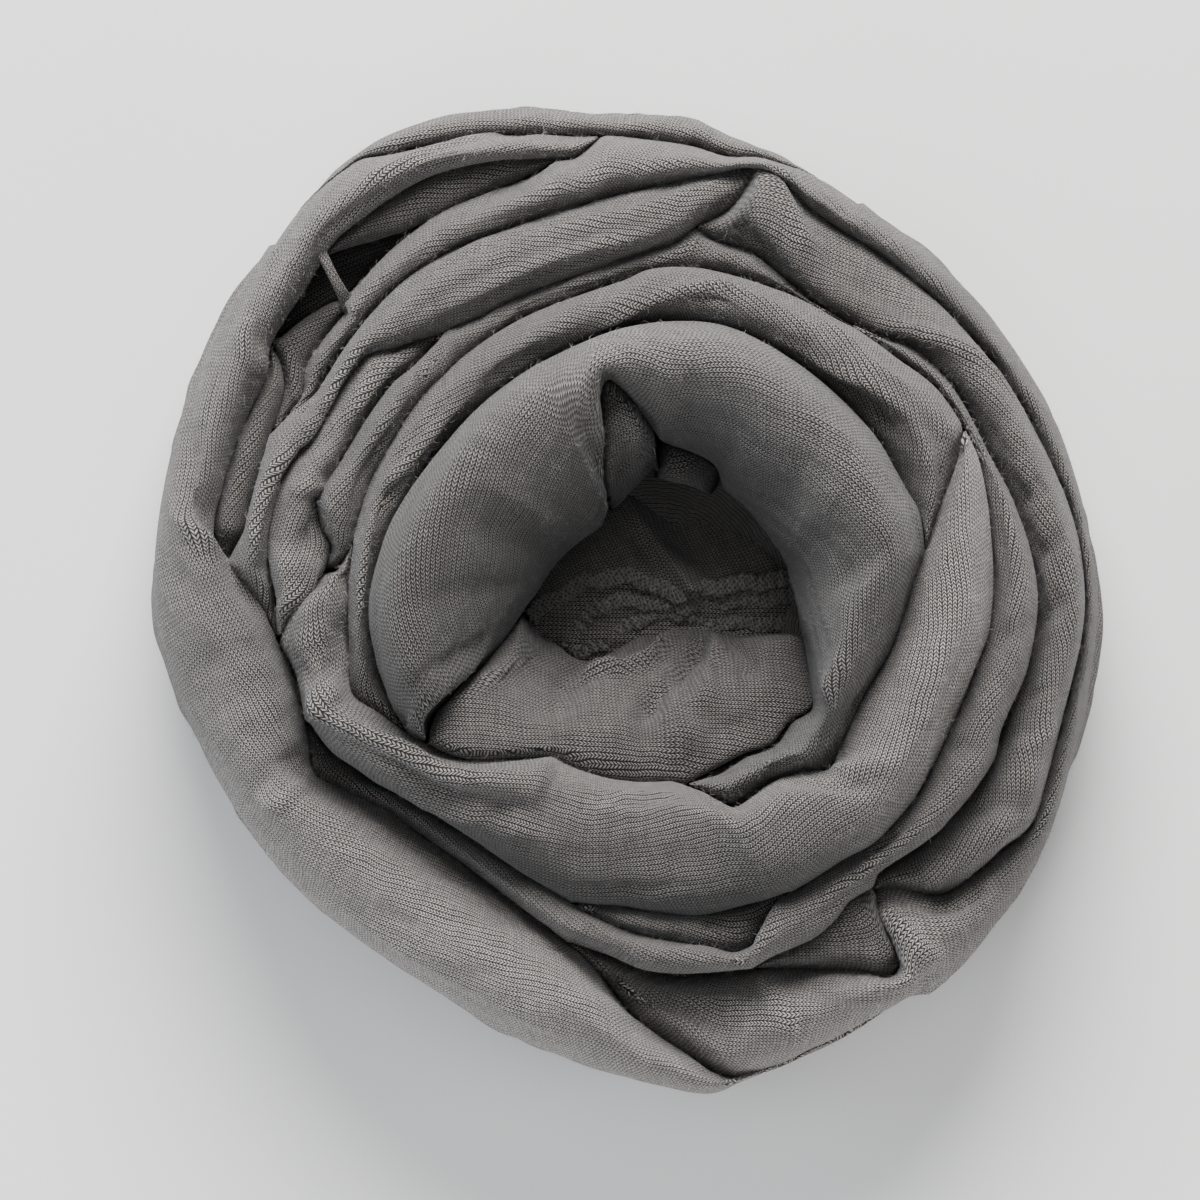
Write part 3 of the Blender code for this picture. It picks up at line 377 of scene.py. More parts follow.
# Creases on the side of the outer wraps: the line is (azimuth_deg, height_mm).
LEFT_SIDE_CREASES = (
    (-1.2, 2.6, ((128, 38.0), (142, 33.0), (157, 31.0), (172, 33.0))),
    (0.8, 2.2, ((133, 31.0), (147, 26.0), (160, 24.5))),
    (-1.4, 2.0, ((160, 24.0), (178, 18.0), (198, 16.0), (214, 19.0))),
    (0.9, 2.6, ((176, 31.0), (192, 27.0), (209, 27.5), (224, 31.0))),
    (-1.1, 2.8, ((196, 36.0), (214, 37.5), (232, 35.0), (246, 30.0))),
    (-1.2, 1.6, ((224, 25.0), (238, 20.0), (252, 17.0), (264, 17.5))),
    (0.8, 2.2, ((236, 28.0), (250, 24.5), (262, 24.0))),
    (-1.0, 2.4, ((254, 36.0), (264, 30.5), (276, 27.0), (284, 22.5))),
    (1.1, 1.5, ((140, 17.5), (155, 14.5), (168, 14.0))),
    (-1.1, 1.5, ((112, 42.0), (121, 40.0), (131, 40.5))),
    (-1.2, 1.7, ((148, 40.0), (155, 35.5), (158, 31.5))),
    (1.2, 1.6, ((203, 14.5), (216, 12.5), (229, 13.0))),
)
RIGHT_SIDE_CREASES = (
    (-1.7, 2.1, ((293, 36.0), (305, 31.0), (319, 28.5), (332, 30.0))),
    (1.4, 1.7, ((300, 26.0), (314, 22.5), (328, 22.0))),
    (-1.4, 1.9, ((322, 17.5), (338, 15.0), (354, 16.0), (368, 19.0))),
    (1.2, 1.6, ((340, 28.0), (352, 26.0), (366, 27.0), (379, 30.0))),
    (-1.0, 2.4, ((364, 24.0), (379, 22.0), (393, 24.0), (407, 28.5))),
    (0.7, 2.4, ((386, 34.5), (399, 35.0), (412, 32.5), (423, 28.0))),
    (-1.4, 1.8, ((398, 16.0), (412, 14.0), (427, 16.5))),
    (-0.8, 2.2, ((414, 38.0), (424, 36.5), (434, 38.0))),
    (1.1, 1.5, ((424, 22.0), (434, 25.0), (441, 31.0))),
    (1.1, 1.4, ((309, 13.5), (321, 12.0), (332, 12.5))),
)
SLIVER_SIDE_CREASES = (
    (-0.9, 1.4, ((82, 22.0), (93, 19.0), (105, 20.0), (115, 23.0))),
    (0.9, 1.3, ((86, 14.0), (98, 12.5), (109, 14.5))),
    (-0.8, 1.2, ((98, 28.0), (107, 29.0), (114, 28.0))),
)

# How far some stretches fall from their crest to the inner seam: azimuth_deg, drop_mm.
OUTER_LEFT_DROP = ((96, 4.0), (195, 4.0), (212, 6.0), (225, 8.5), (252, 8.5), (270, 6.0), (305, 4.0))
OUTER_RIGHT_DROP = ((257, 7.0), (290, 7.0), (303, 5.0), (330, 4.0), (513, 4.0))
INNER_ROLL_DROP = (
    (281, 22.0), (320, 26.0), (438, 26.0), (450, 18.0), (457, 11.0), (463, 10.0), (468, 14.0),
    (474, 21.0), (483, 26.0), (573, 24.0),
)

Stretch = namedtuple("Stretch", "name seams inner_drop outer_drop inner_round outer_round bias "
                                "creases side_creases")
# Outermost first. The drops are how far the roof falls from its crest to the inner and the outer
# shoulder, in mm, the rounds are the widths over which it turns down into a seam, and the bias is
# the angle in degrees between the knit and the run of the stretch.
STRETCHES = (
    Stretch("outer_sliver", OUTER_SLIVER, 2.0, 3.0, 2.6, 3.4, 8, (), SLIVER_SIDE_CREASES),
    Stretch("outer_wrap_left", OUTER_LEFT, OUTER_LEFT_DROP, 5.0, 7.0, 8.0, -16, OUTER_LEFT_CREASES,
            LEFT_SIDE_CREASES),
    Stretch("under_flap_top", UNDER_FLAP_TOP, 2.0, 2.0, 2.2, 2.2, 20, (), None),
    Stretch("top_cleft", TOP_CLEFT, 1.0, 1.0, 0.8, 0.8, 12, (), None),
    Stretch("under_flap_left", UNDER_FLAP_LEFT, 2.0, 2.0, 2.2, 2.2, 24, (), None),
    Stretch("under_flap_edge", UNDER_FLAP_EDGE, 2.0, 2.0, 1.2, 1.2, 24, (), None),
    Stretch("outer_wrap_right", OUTER_RIGHT, OUTER_RIGHT_DROP, 5.0, 6.0, 7.0, 18, OUTER_RIGHT_CREASES,
            RIGHT_SIDE_CREASES),
    Stretch("z_fold", Z_FOLD, 1.0, 5.0, 1.2, 4.0, 14, Z_FOLD_CREASES, None),
    Stretch("third_wrap_top", THIRD_TOP, 3.0, 4.0, 4.2, 5.0, 22, THIRD_TOP_CREASES, None),
    Stretch("third_wrap_right", THIRD_RIGHT, 4.0, 4.0, 5.4, 5.0, -20, THIRD_RIGHT_CREASES, None),
    Stretch("fourth_wrap_left", FOURTH_LEFT, 3.0, 3.0, 3.2, 3.4, 26, FOURTH_LEFT_CREASES, None),
    Stretch("rope_fold_upper", ROPE_UPPER, 3.0, 3.0, 4.2, 4.4, 16, ROPE_UPPER_CREASES, None),
    Stretch("rope_fold_lower", ROPE_LOWER, 2.0, 2.0, 2.0, 2.2, 16, ROPE_LOWER_CREASES, None),
    Stretch("thin_layers", THIN_LAYERS, 2.0, 3.0, 2.6, 2.8, 20, THIN_LAYERS_CREASES, None),
    Stretch("second_ring_lower", SECOND_LOWER, 4.0, 5.0, 5.0, 6.0, -12, SECOND_LOWER_CREASES, None),
    Stretch("second_ring_upper", SECOND_UPPER, 4.0, 4.0, 4.6, 5.0, 24, SECOND_UPPER_CREASES, None),
    Stretch("inner_roll", INNER_ROLL, INNER_ROLL_DROP, 6.0, 3.4, 8.0, -26, INNER_ROLL_CREASES, None),
    Stretch("well_strip", WELL_STRIP, 2.0, 1.0, 1.2, 1.2, 10, (), None),
    Stretch("well_pocket", WELL_POCKET, 20.0, 2.0, 2.2, 3.0, -30, WELL_POCKET_CREASES, None),
    Stretch("well_wall", WELL_WALL, 27.0, 2.0, 2.4, 1.2, 6, WELL_WALL_CREASES, None),
)
# Painted light and shade: how light the cloth is at the inner and at the outer seam of a stretch,
# against its yarn: one number, or a table of azimuth_deg and share. It is painted shade towards the
# seams, on sides turned from the light, in the cleft and down the well, and painted light on the
# lit outer sides of the outer wraps. On the inner roll it stands in part for stretched knit, which
# is more open and so darker, and in part for painted shade.
PAINTED_LIGHT_AND_SHADE = {
    "outer_sliver": (0.85, 1.0),
    # The outer wraps: painted shade towards their inner seams, painted light on their lit outer
    # sides.
    "outer_wrap_left": (
        ((96, 0.95), (150, 0.85), (200, 0.65), (225, 0.7), (260, 0.8), (305, 0.95)),
        ((96, 1.05), (150, 0.9), (190, 0.95), (218, 1.5), (258, 1.65), (305, 1.35))),
    "outer_wrap_right": (
        ((257, 0.75), (300, 0.85), (330, 0.5), (400, 0.52), (440, 0.85), (513, 0.8)),
        ((257, 1.4), (300, 1.4), (330, 0.75), (400, 0.75), (440, 0.95), (513, 0.9))),
    "under_flap_top": (0.6, 0.75),
    "under_flap_left": (0.55, 0.7),
    "under_flap_edge": (0.5, 0.6),
    # Painted shade at the bottom of the cleft.
    "top_cleft": (0.24, 0.24),
    "z_fold": (0.55, 0.75),
    "third_wrap_top": (0.66, 0.9),
    "third_wrap_right": (0.45, 0.9),
    "fourth_wrap_left": (0.7, 0.9),
    "rope_fold_upper": (0.55, 0.85),
    "rope_fold_lower": (0.5, 0.65),
    "thin_layers": (0.55, 0.7),
    # Painted shade on the outer side of the ring, which is turned from the light.
    "second_ring_lower": (
        ((529, 0.8), (580, 0.95), (650, 1.0), (749, 0.85)),
        ((529, 0.75), (580, 0.55), (605, 0.34), (650, 0.34), (680, 0.8), (710, 1.3),
         (749, 1.2))),
    "second_ring_upper": (0.5, 0.82),
    # Painted shade on the slope down into the well, in part also stretched, more open knit.
    "inner_roll": (
        ((281, 0.5), (350, 0.3), (420, 0.3), (450, 0.42), (464, 0.8), (480, 0.4), (540, 0.26),
         (573, 0.45)),
        ((281, 0.65), (350, 0.58), (400, 0.7), (450, 0.92), (490, 0.7), (540, 0.46),
         (573, 0.55))),
    # Painted shade down the well.
    "well_strip": (0.45, 0.4),
    "well_pocket": (0.4, 0.6),
    "well_wall": (0.62, 0.58),
}
ORDER = {stretch.name: order for order, stretch in enumerate(STRETCHES)}
# A stretch with cloth of its own that no solid stands for.
SCENE_ONLY = "top_cleft"
COIL_NAME = "hidden_coil"
# Whole turns by which an azimuth may be counted up, to be found in a table.
TURNS = (-720.0, -360.0, 0.0, 360.0, 720.0)
# The narrowest piece of cloth that is counted, in metres.
NARROWEST_CUT = 0.0102
# A fold narrower than this, in mm, has thinner cloth, down to a share of its thickness.
FULL_WIDTH = 1.6
THINNEST_SHARE = 0.12
# Seeds of the unevenness and of the loose fibres, to which the order of a stretch is added.
RIPPLE_SEED = 100
NAP_SEED = 500
# Loose fibres: shortest and longest in mm, width in mm, the share of it that they lose towards
# their tips, and how far up and how freely the cloth lies where they stand.
NAP_LENGTH = (0.4, 1.3)
NAP_WIDTH = 0.04
NAP_TAPER = 0.6
NAP_FACING = (0.1, 0.88)
NAP_FREE_SHARE = 0.2
NAP_DARK = (0.26, 0.242, 0.23, 1.0)
NAP_PALE = (0.56, 0.53, 0.505, 1.0)
THREAD_GAP = (0.055, 0.052, 0.05, 1.0)
THREAD_COLOUR = (0.175, 0.165, 0.158, 1.0)
SHEEN_TINT = (0.9, 0.95, 1.0, 1.0)
# Where the nodes of a material stand in its tree.
NODE_STEP = (190.0, -170.0)
SHADER_PLACE = (1100.0, 0.0)
OUTPUT_PLACE = (1400.0, 0.0)
# The middle part of a noise, which is spread over the range that it is used for.
NOISE_RANGE = (0.3, 0.7)
# A stitch: how far its legs slant for each column, the part of their wave that is yarn, where a
# column falls off to its edge, and where it dips to in the middle, from 0 there to 0.5 at the edge.
LEG_SLANT = 2.1
LEG_WAVE = (-0.8, 0.7)
COLUMN_EDGE = (0.30, 0.47)
COLUMN_MIDDLE = (0.0, 0.13)
MIDDLE_LOW = 0.3


class HijabSettings(bpy.types.PropertyGroup):
    """Sizes and colours of the cloth."""

    thickness: bpy.props.FloatProperty(
        name="Cloth thickness", description="Thickness of the jersey",
        default=0.0006, min=0.0003, max=0.002, unit="LENGTH")
    spacing: bpy.props.FloatProperty(
        name="Point spacing", description="Distance between the points of a shell",
        default=0.00075, min=0.0004, max=0.003, unit="LENGTH")
    wale: bpy.props.FloatProperty(
        name="Wale", description="Width of one column of stitches",
        default=0.00079, min=0.0004, max=0.003, unit="LENGTH")
    course: bpy.props.FloatProperty(
        name="Course", description="Height of one row of stitches",
        default=0.00058, min=0.0003, max=0.003, unit="LENGTH")
    yarn_colour: bpy.props.FloatVectorProperty(
        name="Yarn", description="Colour of the yarn", subtype="COLOR", size=4,
        default=(0.45, 0.42, 0.399, 1.0), min=0.0, max=1.0)
    gap_colour: bpy.props.FloatVectorProperty(
        name="Gaps", description="Colour between the stitches", subtype="COLOR", size=4,
        default=(0.014, 0.013, 0.013, 1.0), min=0.0, max=1.0)
    nap: bpy.props.FloatProperty(
        name="Nap", description="Loose fibres on each square millimetre of a fold's shoulder",
        default=0.5, min=0.0, max=2.0)
    ripple: bpy.props.FloatProperty(
        name="Ripple", description="Height of the soft unevenness of the cloth",
        default=0.00018, min=0.0, max=0.002, unit="LENGTH")


def column(table, place):
    """One column of a table."""
    return np.array([row[place] for row in table], dtype=float)


def smooth(table, place, xs):
    """One column of a table at the azimuths xs, on a smooth curve that never overshoots a row."""
    rows, values = column(table, 0), column(table, place)
    slopes = np.diff(values) / np.diff(rows)
    product = slopes[:-1] * slopes[1:]
    middle = np.where(product > 0, 2.0 * product / (slopes[:-1] + slopes[1:] + 1e-12), 0.0)
    tangent = np.concatenate(([slopes[0]], middle, [slopes[-1]]))
    xs = np.clip(xs, rows[0], rows[-1])
    i = np.clip(np.searchsorted(rows, xs, side="right") - 1, 0, len(rows) - 2)
    width = rows[i + 1] - rows[i]
    t = (xs - rows[i]) / width
    return (values[i] * (1 + 2 * t) * (1 - t) ** 2 + tangent[i] * width * t * (1 - t) ** 2
            + values[i + 1] * t * t * (3 - 2 * t) - tangent[i + 1] * width * t * t * (1 - t))


def outline_radius(azimuths):
    """Radius of the rosette's outline from above."""
    before = tuple((row[0] - 360.0, row[1]) for row in OUTLINE[-3:])
    after = tuple((row[0] + 360.0, row[1]) for row in OUTLINE[:3])
    return smooth(before + OUTLINE + after, 1, azimuths % 360.0)


def hidden_top(radius):
    """Height of the hidden layers."""
    return np.interp(radius, column(HIDDEN_TOP, 0), column(HIDDEN_TOP, 1))


def outer_seam(order, azimuths):
    """Radius of the seam outside a stretch: the innermost of what lies outside it."""
    radius = outline_radius(azimuths)
    for stretch in STRETCHES[:order]:
        rows = column(stretch.seams, 0)
        for turn in TURNS:
            there = azimuths + turn
            found = (there >= rows[0]) & (there <= rows[-1])
            inner = smooth(stretch.seams, 1, there)
            radius = np.where(found, np.minimum(radius, inner), radius)
    return radius


def foot_tuck(height):
    """How far the side of the outer wraps draws in below its widest height."""
    down = np.clip((WIDEST_HEIGHT - height) / (WIDEST_HEIGHT - FOOT_HEIGHT), 0.0, 1.0)
    return FOOT_TUCK * (1.0 - np.sqrt(1.0 - TUCK_SHARE * down ** 2))


def value_along(value, azimuths):
    """A value along a stretch, from one number or a table of azimuth_deg and value."""
    if isinstance(value, tuple):
        return smooth(value, 1, azimuths)[:, None]
    return value


def roof(share, crest, crest_share, inner_drop, outer_drop):
    """Height of the cloth across a stretch, before its sides turn down into the seams."""
    inside = crest - inner_drop * (1.0 - share / crest_share) ** 2
    outside = crest - outer_drop * ((share - crest_share) / (1.0 - crest_share)) ** 2
    return np.where(share < crest_share, inside, outside)


def round_well(azimuths, radius, height):
    """A row of points for each azimuth in degrees, from radius and height in millimetres."""
    turn = np.radians(azimuths)[:, None]
    return np.stack((WELL_CENTRE[0] + radius * np.cos(turn),
                     WELL_CENTRE[1] + radius * np.sin(turn), height), axis=2)


def unit(vectors, axis):
    """Vectors brought to length 1."""
    return vectors / (np.linalg.norm(vectors, axis=axis, keepdims=True) + 1e-9)


class Shell:
    """One stretch as a grid of points: a row for each azimuth, and columns across the fold."""

    LEG_POINTS = 8
    ARC_POINTS = 24
    FLAT_POINTS = 48
    SIDE_POINTS = 48
    # Points on the hidden legs and on the side lie this densely, against 1 on top.
    LEG_DENSITY = 0.22
    SIDE_DENSITY = 0.75
    # The middle of a fold is about this far outside its inner seam.
    HALF_FOLD = 4.0
    # A fold is at least THINNEST wide. An outer wrap narrower than NARROW keeps a small gap.
    THINNEST = 0.25
    NARROW = 1.2
    NARROW_GAP = 0.02
    # A round takes up to ROUND_SHARE of the width, and is ARC_DEPTH times as deep as wide.
    ROUND_SHARE = 0.48
    ARC_DEPTH = 1.15
    # An outer wrap leans in by up to this share of its width.
    LEAN_SHARE = 0.2
    # Both ends turn down over END_LEAST and a share of the width, but over no more than END_ROUND.
    END_ROUND = 3.0
    END_SHARE = 0.6
    END_LEAST = 0.5
    # The legs end this far above the hidden layers, and are at least so long.
    LEG_END = 0.8
    SHORTEST_LEG = 0.4
    SHORTEST_SIDE = 0.3
    # A crease is full from this share of its line on, and keeps a share of its size at its ends.
    CREASE_FULL = 0.22
    CREASE_AT_END = 0.35
    # The cloth is free from this far past a seam, above the foot, and on a top as wide as this.
    FREE_RUN = 1.6
    FREE_FOOT = 4.0
    FREE_WIDTH = 5.0
    LEAST_FREE = 0.15
    # Soft waves: length_mm, and height against the ripple. Each length has some of them.
    WAVES = ((34.0, 1.5), (21.0, 1.1), (13.0, 0.9), (8.5, 0.65), (5.5, 0.3), (3.6, 0.12))
    WAVES_EACH = 3
    # Stretches that turn more tightly than this carry their knit straight across, with the slope
    # of a wall, and down over their outer edge.
    SMALLEST_TURN = 26.0
    WALL_SLOPE = 0.6
    EDGE_RUN = 2.6

    def __init__(self, order, spacing):
        stretch = STRETCHES[order]
        seams = stretch.seams
        first, last = seams[0][0], seams[-1][0]
        self.mean_radius = float(np.mean(column(seams, 1))) + self.HALF_FOLD
        count = int(math.radians(last - first) * self.mean_radius / spacing) + 2
        self.azimuth = np.linspace(first, last, count)
        self.on_side = stretch.side_creases is not None

        inner = smooth(seams, 1, self.azimuth)
        outer = outer_seam(order, self.azimuth)
        middle, width = 0.5 * (inner + outer), outer - inner
        gap = np.where(self.on_side & (width < self.NARROW), self.NARROW_GAP, 0.0)
        self.width = np.maximum(width - 2.0 * gap, self.THINNEST)
        inner = middle - 0.5 * self.width
        across, height = self.top(stretch)
        radius = inner[:, None] + across
        inside, outside = self.legs(order, inner, outer, height)

        inner_leg = np.repeat(radius[:, :1], inside.shape[1], axis=1)
        outer_leg = np.repeat(radius[:, -1:], outside.shape[1], axis=1)
        self.radius = np.hstack((inner_leg, radius, outer_leg))
        self.height = np.hstack((inside, height, outside))
        if self.on_side:
            self.lean_out()
        self.round_ends()
        self.space_evenly(inside.shape[1], across.shape[1], spacing)

    def top(self, stretch):
        """Places across the top of the fold, from its inner seam to its outer one, and heights."""
        width = self.width[:, None]
        inner_round = np.minimum(stretch.inner_round, self.ROUND_SHARE * width)
        outer_round = np.minimum(stretch.outer_round, self.ROUND_SHARE * width)
        near = 1.0 - np.cos(np.radians(np.linspace(0.0, 90.0, self.ARC_POINTS)))
        share = (np.arange(self.FLAT_POINTS) + 1.0) / (self.FLAT_POINTS + 1.0)
        flat = inner_round + (width - outer_round - inner_round) * share
        across = np.hstack((inner_round * near, flat, (width - outer_round * near)[:, ::-1]))

        crest, crest_share = (smooth(stretch.seams, place, self.azimuth)[:, None]
                              for place in (2, 3))
        height = roof(across / width, crest, crest_share,
                      value_along(stretch.inner_drop, self.azimuth), stretch.outer_drop)
        for edge, rounding in ((across, inner_round), (width - across, outer_round)):
            x = np.clip(1.0 - edge / rounding, 0.0, 1.0)
            depth = self.ARC_DEPTH * rounding
            height = height - depth * (1.0 - np.sqrt(np.maximum(1.0 - x * x, 0.0)))
        return across, height

    def legs(self, order, inner, outer, height):
        """Heights down both sides of the fold, to the hidden layers or to the foot."""
        leg = np.linspace(0.0, 1.0, self.LEG_POINTS + 1)[:-1]
        bottom = np.minimum(hidden_top(inner) + self.LEG_END, height[:, 0] - self.SHORTEST_LEG)
        inside = bottom[:, None] + (height[:, 0] - bottom)[:, None] * leg
        if self.on_side:
            down = (np.arange(self.SIDE_POINTS) + 1.0) / self.SIDE_POINTS
            turn = np.radians(self.azimuth)
            low = FOOT_HEIGHT + 0.5 * np.sin(3.0 * turn + order) + 0.3 * np.sin(8.0 * turn + 2.0)
            low = np.minimum(low, height[:, -1] - self.SHORTEST_SIDE)
        else:
            down = 1.0 - leg[::-1]
            low = np.minimum(hidden_top(outer) + self.LEG_END, height[:, -1] - self.SHORTEST_LEG)
        outside = height[:, -1:] + (low - height[:, -1])[:, None] * down
        return inside, outside

    def lean_out(self):
        """Shapes the side: it leans in a little to its top, and tucks in to its foot."""
        up = np.clip((self.height - WIDEST_HEIGHT) / LEAN_RISE, 0.0, 1.0)
        reach = np.linspace(0.0, 1.0, self.radius.shape[1])[None, :] ** 3
        lean = np.minimum(SIDE_LEAN, self.LEAN_SHARE * self.width)[:, None] * up ** 2 * reach
        self.radius = self.radius - foot_tuck(self.height) - lean

    def round_ends(self):
        """Brings both ends of the fold down to its foot in a quarter round."""
        run = (self.azimuth - self.azimuth[0]) * math.radians(1.0) * self.mean_radius
        for distance, width in ((run, self.width[0]), (run[-1] - run, self.width[-1])):
            reach = min(self.END_ROUND, self.END_SHARE * width + self.END_LEAST)
            x = 1.0 - np.clip(distance / reach, 0.0, 1.0)
            foot = np.min(self.height, axis=1, keepdims=True)
            self.height = foot + (self.height - foot) * np.sqrt(1.0 - x * x)[:, None]

    def space_evenly(self, leg_count, top_count, spacing):
        """Spreads each row's points evenly over the cloth, and measures where its top lies."""
        step = np.hypot(np.diff(self.radius, axis=1), np.diff(self.height, axis=1))
        density = np.ones(step.shape[1])
        density[:leg_count] = self.LEG_DENSITY
        density[leg_count + top_count - 1:] = self.SIDE_DENSITY if self.on_side else self.LEG_DENSITY
        start = np.zeros((len(step), 1))
        arc = np.hstack((start, np.cumsum(step, axis=1)))
        spread = np.hstack((start, np.cumsum(step * density, axis=1)))
        self.top_start = arc[:, leg_count:leg_count + 1]
        self.top_stop = arc[:, leg_count + top_count - 1:leg_count + top_count]
        count = int(np.max(spread[:, -1]) / spacing) + 2
        rows = []
        for row in range(len(arc)):
            places = np.linspace(0.0, spread[row, -1], count)
            rows.append([np.interp(places, spread[row], values[row])
                         for values in (self.radius, self.height, arc)])
        self.radius, self.height, self.arc = np.array(rows).transpose(1, 0, 2)

    def place_of(self, azimuth, value, on_side):
        """Where a crease's point lies across the cloth, from its radius or its height."""
        i = int(np.clip(np.searchsorted(self.azimuth, azimuth), 0, len(self.azimuth) - 1))
        widest = int(np.argmax(self.radius[i]))
        if on_side:
            return float(np.interp(-value, -self.height[i, widest:], self.arc[i, widest:]))
        reach = np.maximum.accumulate(self.radius[i, :widest + 1])
        return float(np.interp(value, reach, self.arc[i, :widest + 1]))

    def crease(self, size, width, line, on_side):
        """Height of one ridge or trough at every point, softened at both ends of its line."""
        line = [(azimuth, self.place_of(azimuth, value, on_side)) for azimuth, value in line]
        nearest = np.full(self.radius.shape, np.inf)
        along = np.zeros(self.radius.shape)
        scale = math.radians(1.0) * self.mean_radius
        for place, (start, end) in enumerate(zip(line, line[1:])):
            px = (self.azimuth[:, None] - start[0]) * scale + 0.0 * self.arc
            py = self.arc - start[1]
            dx, dy = (end[0] - start[0]) * scale, end[1] - start[1]
            t = np.clip((px * dx + py * dy) / (dx * dx + dy * dy + 1e-9), 0.0, 1.0)
            distance = np.hypot(px - t * dx, py - t * dy)
            closer = distance < nearest
            nearest = np.where(closer, distance, nearest)
            along = np.where(closer, (place + t) / (len(line) - 1), along)
        ends = np.clip(np.minimum(along, 1.0 - along) / self.CREASE_FULL, 0.0, 1.0)
        ends = ends * ends * (3.0 - 2.0 * ends)
        taper = self.CREASE_AT_END + (1.0 - self.CREASE_AT_END) * ends
        return size * taper * np.exp(-(nearest / width) ** 2)

    def displace(self, stretch, ripple, seed):
        """Lays the creases and a soft unevenness over the shell, square to its surface."""
        lift = self.unevenness(ripple, seed)
        for size, width, line in stretch.creases:
            lift = lift + self.crease(size, width, line, False)
        for size, width, line in stretch.side_creases or ():
            lift = lift + self.crease(size, width, line, True)
        points = round_well(self.azimuth, self.radius, self.height)
        normal = unit(np.cross(np.gradient(points, axis=1), np.gradient(points, axis=0)), 2)
        return points + normal * (lift * self.free_share())[:, :, None]

    def free_share(self):
        """0 on the legs in a crease, rising to 1 where the cloth is free to move."""
        total = self.top_stop - self.top_start
        inside = self.arc - self.top_start
        free = np.clip(inside / self.FREE_RUN, 0.0, 1.0)
        if self.on_side:
            above_foot = np.clip((self.height - FOOT_HEIGHT) / self.FREE_FOOT, 0.0, 1.0)
            free = free * above_foot * np.clip(total / self.FREE_WIDTH, self.LEAST_FREE, 1.0)
        else:
            free = free * np.clip((total - inside) / self.FREE_RUN, 0.0, 1.0)
        return free * free * (3.0 - 2.0 * free)

    def unevenness(self, ripple, seed):
        """Soft waves, longer along the stretch than across it."""
        random = np.random.default_rng(seed)
        u = self.azimuth[:, None] * math.radians(1.0) * self.mean_radius
        waves = np.zeros(self.radius.shape)
        for length, amount in self.WAVES:
            for _ in range(self.WAVES_EACH):
                slant = random.uniform(-0.9, 0.9)
                phase = random.uniform(0.0, 2.0 * math.pi)
                squeeze = random.uniform(1.1, 2.2)
                wave = (u * math.cos(slant) + self.arc * squeeze * math.sin(slant + 0.9)) / length
                waves = waves + amount * np.sin(2.0 * math.pi * wave + phase) / self.WAVES_EACH
        return ripple * waves

    def tones(self, name):
        """Painted light and shade: how light the cloth is at each point, against its yarn."""
        share = np.clip((self.arc - self.top_start) / (self.top_stop - self.top_start), 0.0, 1.0)
        share = share * share * (3.0 - 2.0 * share)
        inner, outer = (value_along(value, self.azimuth) for value in PAINTED_LIGHT_AND_SHADE[name])
        return inner * (1.0 - share) + outer * share

    def cloth_uv(self, bias):
        """Millimetres of cloth along and across each stretch, turned by the bias of the knit."""
        u = self.azimuth[:, None] * math.radians(1.0) * self.mean_radius + 0.0 * self.arc
        v = self.arc - 0.5 * (self.top_start + self.top_stop)
        if self.mean_radius < self.SMALLEST_TURN:
            turn = np.radians(self.azimuth)[:, None]
            limit = self.top_stop - self.EDGE_RUN
            ends = [(np.interp(limit[row, 0], self.arc[row], self.radius[row]),
                     np.interp(limit[row, 0], self.arc[row], self.height[row]))
                    for row in range(len(self.arc))]
            edge_radius, edge_height = np.array(ends).T[:, :, None]
            past = self.arc > limit
            radius = np.where(past, edge_radius + self.arc - limit, self.radius)
            height = np.where(past, edge_height, self.height)
            slope = math.copysign(self.WALL_SLOPE, np.sum(np.sin(turn)))
            u, v = radius * np.cos(turn), radius * np.sin(turn) + slope * height
        turn = math.radians(bias)
        return np.stack((u * math.cos(turn) + v * math.sin(turn),
                         v * math.cos(turn) - u * math.sin(turn)), axis=2)


def set_inputs(tree, node, inputs):
    """Sets inputs of a node by name or number: a socket is linked, and a value is put in."""
    for name, value in inputs.items():
        if isinstance(value, bpy.types.NodeSocket):
            tree.links.new(value, node.inputs[name])
        else:
            node.inputs[name].default_value = value


def add_node(tree, kind, place, inputs, **attributes):
    """A node at a place in the tree, with its attributes and inputs."""
    node = tree.nodes.new(kind)
    node.location = (place[0] * NODE_STEP[0], place[1] * NODE_STEP[1])
    for name, value in attributes.items():
        setattr(node, name, value)
    set_inputs(tree, node, inputs)
    return node


def math_node(tree, operation, place, *values):
    """One step of arithmetic on sockets or plain numbers."""
    inputs = dict(enumerate(values))
    return add_node(tree, "ShaderNodeMath", place, inputs, operation=operation).outputs[0]


def range_node(tree, place, value, low, high, to_low, to_high):
    """Spreads the range from low to high smoothly over that from to_low to to_high."""
    inputs = {"Value": value, "From Min": low, "From Max": high, "To Min": to_low, "To Max": to_high}
    node = add_node(tree, "ShaderNodeMapRange", place, inputs, interpolation_type="SMOOTHSTEP")
    return node.outputs["Result"]


def noise_node(tree, place, vector, scale, detail, roughness=0.55, output="Fac"):
    """Soft noise in three dimensions."""
    inputs = {"Vector": vector, "Scale": scale, "Detail": detail, "Roughness": roughness}
    node = add_node(tree, "ShaderNodeTexNoise", place, inputs, noise_dimensions="3D")
    return node.outputs[output]


def mix_node(tree, place, factor, first, second, blend_type="MIX"):
    """Two colours mixed."""
    inputs = {"Factor": factor, "A": first, "B": second}
    node = add_node(tree, "ShaderNodeMix", place, inputs, data_type="RGBA", blend_type=blend_type)
    return node.outputs["Result"]


def scale_node(tree, place, vector, scale):
    """A vector or a colour times a number."""
    inputs = {0: vector, "Scale": scale}
    return add_node(tree, "ShaderNodeVectorMath", place, inputs, operation="SCALE").outputs[0]


